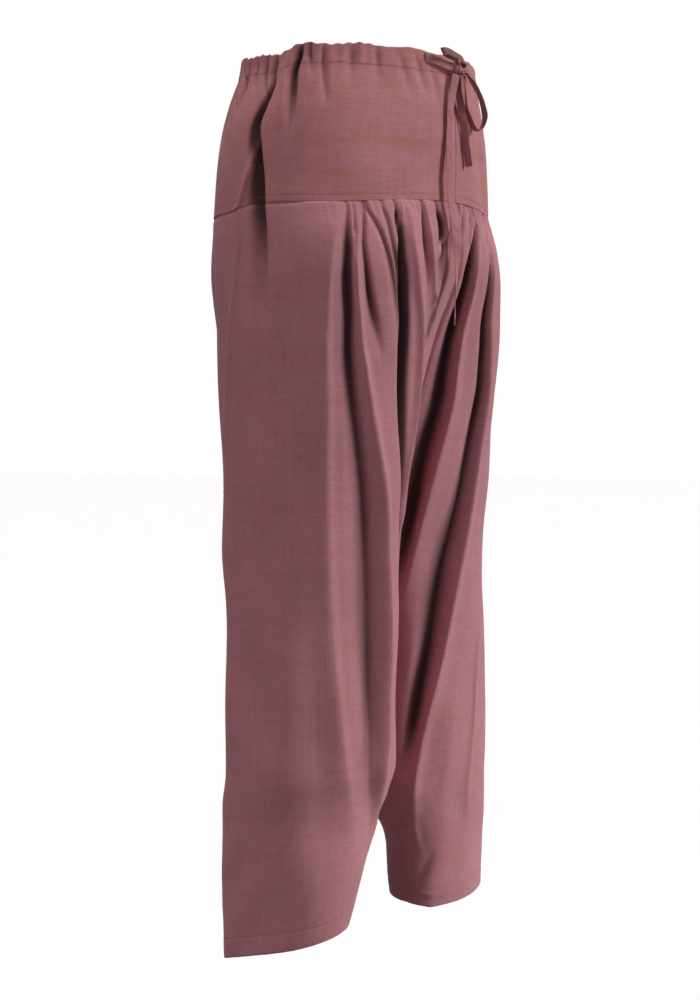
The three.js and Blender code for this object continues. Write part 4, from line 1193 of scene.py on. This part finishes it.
def yoke_surface(side):
    """The yoke's outer skin: the body, moved out by casing and gathers and in by creases and grooves.

    The small gathers at the casing are sines about 15 mm long, a fifth as high in front as at the
    side. Then heights change: the lower edge follows the hip seam, and the upper edge goes up and
    down with the gathers and dips 9 mm towards the back.
    """
    round_, z = np.meshgrid(yoke_round, yoke_levels)
    body = yoke_body(round_, z)
    girth = np.sum(np.linalg.norm(np.diff(body[:1], axis=1), axis=-1), axis=1)
    seen = RIGHT_YOKE_CREASES if side < 0 else LEFT_YOKE_CREASES + LEFT_YOKE_HIDDEN
    creases = seen + BACK_YOKE_CREASES
    bunched = 0.2 + 0.8 * ease((round_ - 0.2) / 0.08)
    gathers = 0.55 * bunched * np.sin(round_ * 210 + 2.2 * np.sin(round_ * 31)) * ease((z + 34) / 20)
    casing = 0.3 * ease((z + CASING) / 1.5) - groove(z, -CASING, 0.15)
    seam = groove(z, YOKE_SEAM + TOPSTITCH, 0.2)
    fade = ease(round_ / 0.012) * ease((1 - round_) / 0.012)
    uneven = undulation(round_, z, girth, 5 + side) * ease((z - YOKE_SEAM) / 30)
    move = casing - seam + (uneven + gathers) * fade
    set_in, hidden = crease_depth(creases, round_, z, girth, YOKE_TOP) * fade
    move -= set_in
    points = body.copy()
    points[..., :2] += level_normals(body) * move[..., None]
    points[..., 2] += seam_lift(round_) * ease((-90 - z) / 86)
    points[..., 2] -= 1.2 * np.sin(round_ * 44 + side) * ease((z + 14) / 14) * fade
    edge = 0.8 * bunched * ease((z + 12) / 12) * fade
    points[..., 2] += edge * np.sin(round_ * 190 + 2 * np.sin(round_ * 23))
    dip = 9 * ease((round_ - 0.42) / 0.10) * (0.4 + 0.6 * ease((0.72 - round_) / 0.2))
    points[..., 2] -= dip * ease((z + 90) / 90)
    points[..., 0] = np.maximum(points[..., 0], SEAM)
    return points, round_, z, hidden


def make_yoke(side):
    """One half of the yoke as a shell, with the CAD node it stands for. Returns its outer skin."""
    points, round_, z, hidden = yoke_surface(side)
    name = "yoke_right" if side < 0 else "yoke_left"
    uv = np.stack([round_ * YOKE_ROUND, z * MM + 1], -1)
    piece = shell(name + "_cloth", side, points, CLOTH, uv, yoke_cotton, hidden)
    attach(piece, "root")
    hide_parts(name)
    print(piece.name, len(piece.data.polygons), "faces")
    return points


yoke_right_skin = make_yoke(-1)
yoke_left_skin = make_yoke(1)

# %% [markdown]
# Each leg is pleated into the seam at the front. Right under the seam the cloth springs out by a
# few millimetres, because the tucks behind it push it forward, and the pleats open as they fall.

# %% The legs' surface
HEM_STITCH = 20
leg_round = spaced((0, 0.34, 0.00205), (0.34, 0.46, 0.0042), (0.46, 0.60, 0.0030), (0.60, 1, 0.0068))
leg_levels = spaced(
    (YOKE_SEAM, -182, 1),
    (-182, -250, 2.5),
    (-250, -340, 4),
    (-340, -962, 6.8),
    (-962, -968, 0.8),
    (-968, HEM, 2.6),
)
LEG_ROUND = 0.60  # metres of cloth round a leg, on average


def leg_surface(side):
    """A leg's outer skin: the body, plus the spring under the seam, less creases and the hem's groove.

    The spring is 3 mm, in front only. Puckers are sines about 14 mm long that die out 39 mm below
    the seam, and on the left leg they are pinched in too, as its tucks lie close together. At the
    side and back the top edge slips 3 mm up behind the yoke, and 1.4 mm further in.
    """
    round_, z = np.meshgrid(leg_round, leg_levels)
    body = leg_body(side, round_, z)
    girth = np.sum(np.linalg.norm(np.diff(body, axis=1), axis=-1), axis=1, keepdims=True)
    seen = RIGHT_LEG_CREASES if side < 0 else LEFT_LEG_CREASES + LEFT_LEG_HIDDEN
    creases = seen + BACK_CREASES + INNER_CREASES
    spring = spring_out(round_, z)
    behind = ease((round_ - 0.36) / 0.04)
    tucked = 0.8 * ease((z - YOKE_SEAM + 3) / 3)
    wave = np.sin(round_ * 265 + 2.2 * np.sin(round_ * 61 + side))
    puckers = (0.05 + 0.35 * ease((0.33 - round_) / 0.05)) * wave * ease((z + 215) / 39)
    if side > 0:
        puckers -= 1.8 * ease(-wave) * ease((z + 204) / 26) * ease((0.24 - round_) / 0.05)
    hem = 0.2 * ease((HEM + HEM_STITCH - z) / 1.5) - groove(z, HEM + HEM_STITCH, 0.25)
    fade = ease(round_ / 0.012) * ease((1 - round_) / 0.012)
    uneven = undulation(round_, z, girth, 11 + side) * ease((YOKE_SEAM - z) / 30)
    tucked += 1.4 * ease((z - YOKE_SEAM + 6) / 6) * behind
    move = hem - tucked + (spring + puckers + uneven) * fade
    set_in, hidden = crease_depth(creases, round_, z, girth, YOKE_SEAM) * fade
    move -= set_in
    points = body.copy()
    points[..., :2] += level_normals(body) * move[..., None]
    points[..., 2] += seam_lift(round_) * ease((z + 260) / 84)
    points[..., 2] += 3 * ease((z - YOKE_SEAM + 2) / 2) * behind
    points[..., 0] = np.maximum(points[..., 0], SEAM)
    return points, round_, z, hidden


def make_leg(side):
    """One leg as a shell, with the CAD node it stands for. Returns its outer skin."""
    points, round_, z, hidden = leg_surface(side)
    name = "leg_right" if side < 0 else "leg_left"
    uv = np.stack([round_ * LEG_ROUND + 2 + side, z * MM + 2], -1)
    piece = shell(name + "_cloth", side, points, CLOTH, uv, leg_cotton, hidden)
    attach(piece, "root")
    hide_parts(name)
    print(piece.name, len(piece.data.polygons), "faces")
    return points


leg_right_skin = make_leg(-1)
leg_left_skin = make_leg(1)

# %% [markdown]
# Sewn lines are rows of short stitches that dip into the cloth at both ends. A texture could hint
# at them, but small spindles of thread, a few faces each, stay sharp from any distance and catch
# the light. All the stitches of one line are a single mesh.

# %% Stitches
def line_on(skin, rounds, levels, level, places):
    """Points on a skin at one level, by straight lines between its grid's rows and columns."""
    k = int(np.clip(np.searchsorted(-levels, -level) - 1, 0, len(levels) - 2))
    t = (level - levels[k]) / (levels[k + 1] - levels[k])
    row = skin[k] + (skin[k + 1] - skin[k]) * t
    out = true_normals(skin)[k]
    at = lambda values: np.stack([np.interp(places, rounds, values[:, c]) for c in range(3)], -1)
    return at(row), at(out)


def stitch_row(name, lines, pitch=2.9, length=2.1, radius=0.26):
    """Stitches along lines: spindles of six sides, fat in the middle and sunk at both ends.

    Each line gives its side, points and normals. Stitches sit at even distances along it, from the
    point's place less half the length to the place plus half of it.
    """
    parts = []
    for side, points, normals in lines:
        along = np.append(0, np.cumsum(np.linalg.norm(np.diff(points, axis=0), axis=1)))
        middle = np.arange(pitch, along[-1] - pitch, pitch)
        at = lambda s, values: np.stack([np.interp(s, along, values[:, c]) for c in range(3)], -1)
        share = np.array([-0.5, -0.28, 0.28, 0.5])
        place = at((middle[:, None] + share * length).ravel(), points).reshape(-1, 4, 3)
        out = at(middle, normals)[:, None]
        out = out / np.linalg.norm(out, axis=-1, keepdims=True)
        forward = place[:, 3:] - place[:, :1]
        forward = forward / np.linalg.norm(forward, axis=-1, keepdims=True)
        aside = np.cross(forward, out)
        angle = np.linspace(0, 2 * np.pi, 6, endpoint=False)
        thick = np.array([0.25, 1, 1, 0.25])[:, None, None] * radius
        lift = np.array([-0.22, 0.10, 0.10, -0.22])[:, None]
        ring = aside[:, :, None] * np.cos(angle)[:, None] + out[:, :, None] * np.sin(angle)[:, None]
        stitch = (place + out * lift)[:, :, None] + ring * thick
        stitch[..., 0] *= side
        parts.append(stitch)
    every = np.concatenate(parts)
    index = np.arange(every.shape[0] * 24).reshape(-1, 4, 6)
    wrapped = np.concatenate([index, index[..., :1]], -1)
    quads = np.stack([wrapped[:, :-1, :-1], wrapped[:, 1:, :-1], wrapped[:, 1:, 1:], wrapped[:, :-1, 1:]], -1)
    ends = [index[:, 0, ::-1], index[:, 3, :]]
    piece = new_object(name, every * MM, [quads.reshape(-1, 4), *ends], sewing_thread)
    each_outwards(piece)
    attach(piece, "root")
    print(name, "has", every.shape[0], "stitches")


def each_outwards(piece):
    """Turns the faces of a mesh of many small closed bodies outwards, each on its own."""
    made = bmesh.new()
    made.from_mesh(piece.data)
    bmesh.ops.recalc_face_normals(made, faces=made.faces)
    made.to_mesh(piece.data)
    made.free()


def both_sides(right, left, rounds, levels, level, first=0.004, last=0.996):
    """The same line on the right and the left skin."""
    places = np.linspace(first, last, 900)
    return [(side, *line_on(skin, rounds, levels, level, places)) for side, skin in ((-1, right), (1, left))]


yoke_skins = (yoke_right_skin, yoke_left_skin, yoke_round, yoke_levels)
leg_skins = (leg_right_skin, leg_left_skin, leg_round, leg_levels)
stitch_row("casing_stitches", both_sides(*yoke_skins, -CASING))
stitch_row("seam_topstitches", both_sides(*yoke_skins, YOKE_SEAM + TOPSTITCH))
stitch_row("hem_stitches", both_sides(*leg_skins, HEM + HEM_STITCH))

# %% [markdown]
# The tape leaves the casing through two slits. Their raw edges would fray, so each is oversewn all
# round with close stitches, as a buttonhole is.

# %% Slits for the tape
def slit_line(side, skin, exit_x=46.5, level=-8):
    """An oval on the skin: 1.5 mm times the cosine along the cloth, 6.2 mm times the sine upwards."""
    line, normals = line_on(skin, yoke_round, yoke_levels, level, yoke_round)
    k = int(np.argmin(np.abs(line[:90, 0] - exit_x)))
    along = line[k + 1] - line[k - 1]
    along /= np.linalg.norm(along)
    angle = np.linspace(0, 2 * np.pi, 60)[:, None]
    oval = line[k] + normals[k] * 0.15 + along * 1.5 * np.cos(angle) + np.array([0, 0, 6.2]) * np.sin(angle)
    return side, oval, np.broadcast_to(normals[k], oval.shape)


slit_lines = [slit_line(-1, yoke_right_skin), slit_line(1, yoke_left_skin)]
stitch_row("slit_stitches", slit_lines, pitch=0.9, length=1.3, radius=0.4)

# %% [markdown]
# The floor is plain white paint, far enough below the hems to keep their shadow out of the picture.

# %% Floor
floor_paint, tree, shader = new_material("matt_white_studio_paint", Roughness=0.9)
place = add(tree, "TexCoord").outputs["Object"]
grain = add(tree, "TexNoise", {"Vector": place, "Scale": 3.0, "Detail": 3.0}).outputs["Fac"]
whites = {0: grain, 6: linear("#ffffff"), 7: linear("#fbfbfb")}
tree.links.new(add(tree, "Mix", whites, data_type="RGBA").outputs[2], shader.inputs["Base Color"])
FLOOR_LEVEL = -1.62
FLOOR_HALF = 60.0
corners = np.array([(-1, -1, 0), (1, -1, 0), (1, 1, 0), (-1, 1, 0)], float) * FLOOR_HALF
corners[:, 2] = FLOOR_LEVEL
floor = new_object("floor", corners, [np.array([[0, 1, 2, 3]])], floor_paint)
floor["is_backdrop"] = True
floor.visible_diffuse = False  # its glare stays off the cloth, as if a dark mat lay under it


# %% [markdown]
# The picture has soft light from its right and hardly a shadow around the trousers. A wide sun,
# "key", comes from there and models the folds. "side_fill" lights the near panel weakly from the
# left, "top" clears the floor, and "bounce" is a white board that lifts the far leg's foot. A pale
# world fills the rest. One hard lamp would be simpler, but it would cut black edges into the folds.

# %% Light
def sun(name, direction, strength, softness, colour="#ffffff"):
    """A sun that shines from a direction, with an angle of softness in degrees."""
    data = bpy.data.lights.new(name, "SUN")
    data.energy = strength
    data.angle = math.radians(softness)
    data.color = linear(colour)[:3]
    lamp = bpy.data.objects.new(name, data)
    lamp.rotation_euler = Vector(direction).to_track_quat("Z", "Y").to_euler()
    bpy.context.scene.collection.objects.link(lamp)
    return lamp


key = sun("key", (0.44, -0.79, 0.42), 2.05, 20)
side_fill = sun("side_fill", (-0.97, 0.0, 0.24), 0.60, 40, "#fff0f4")
top = sun("top", (0, 0, 1), 1.85, 30)
data = bpy.data.lights.new("bounce", "AREA")  # a white board low on the right, just out of the picture
data.energy = 1.2
data.size = 0.5
bounce = bpy.data.objects.new("bounce", data)
bounce.location = (0.42, -0.62, -1.15)
aim = Vector((0.10, -0.03, -0.85)) - bounce.location
bounce.rotation_euler = aim.to_track_quat("-Z", "Y").to_euler()
bpy.context.scene.collection.objects.link(bounce)
world = bpy.data.worlds.new("world")
world.use_nodes = True
bpy.context.scene.world = world
tree = world.node_tree
tree.nodes.clear()
seen = add(tree, "Background", {"Color": linear("#ffffff"), "Strength": 1.0})
fill = add(tree, "Background", {"Color": linear("#fff0f3"), "Strength": 0.15})
ray = add(tree, "LightPath")
either = add(tree, "MixShader", {0: ray.outputs["Is Camera Ray"], 1: fill.outputs[0], 2: seen.outputs[0]})
add(tree, "OutputWorld", {"Surface": either.outputs[0]})
bpy.context.scene.view_settings.view_transform = "Standard"
print("lights:", key.name, side_fill.name, top.name, bounce.name)

# %% [markdown]
# The box around all that is seen should be the box around the solids, give or take a few
# millimetres, so both are worked out and printed.

# %% Sizes and the end
seen_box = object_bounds()
plain = lambda box: [[float(x) for x in corner] for corner in box]
{"cad": plain(cad_box), "visual": plain(seen_box)}
print("CAD box:", plain(cad_box))
print("visual box:", plain(seen_box))
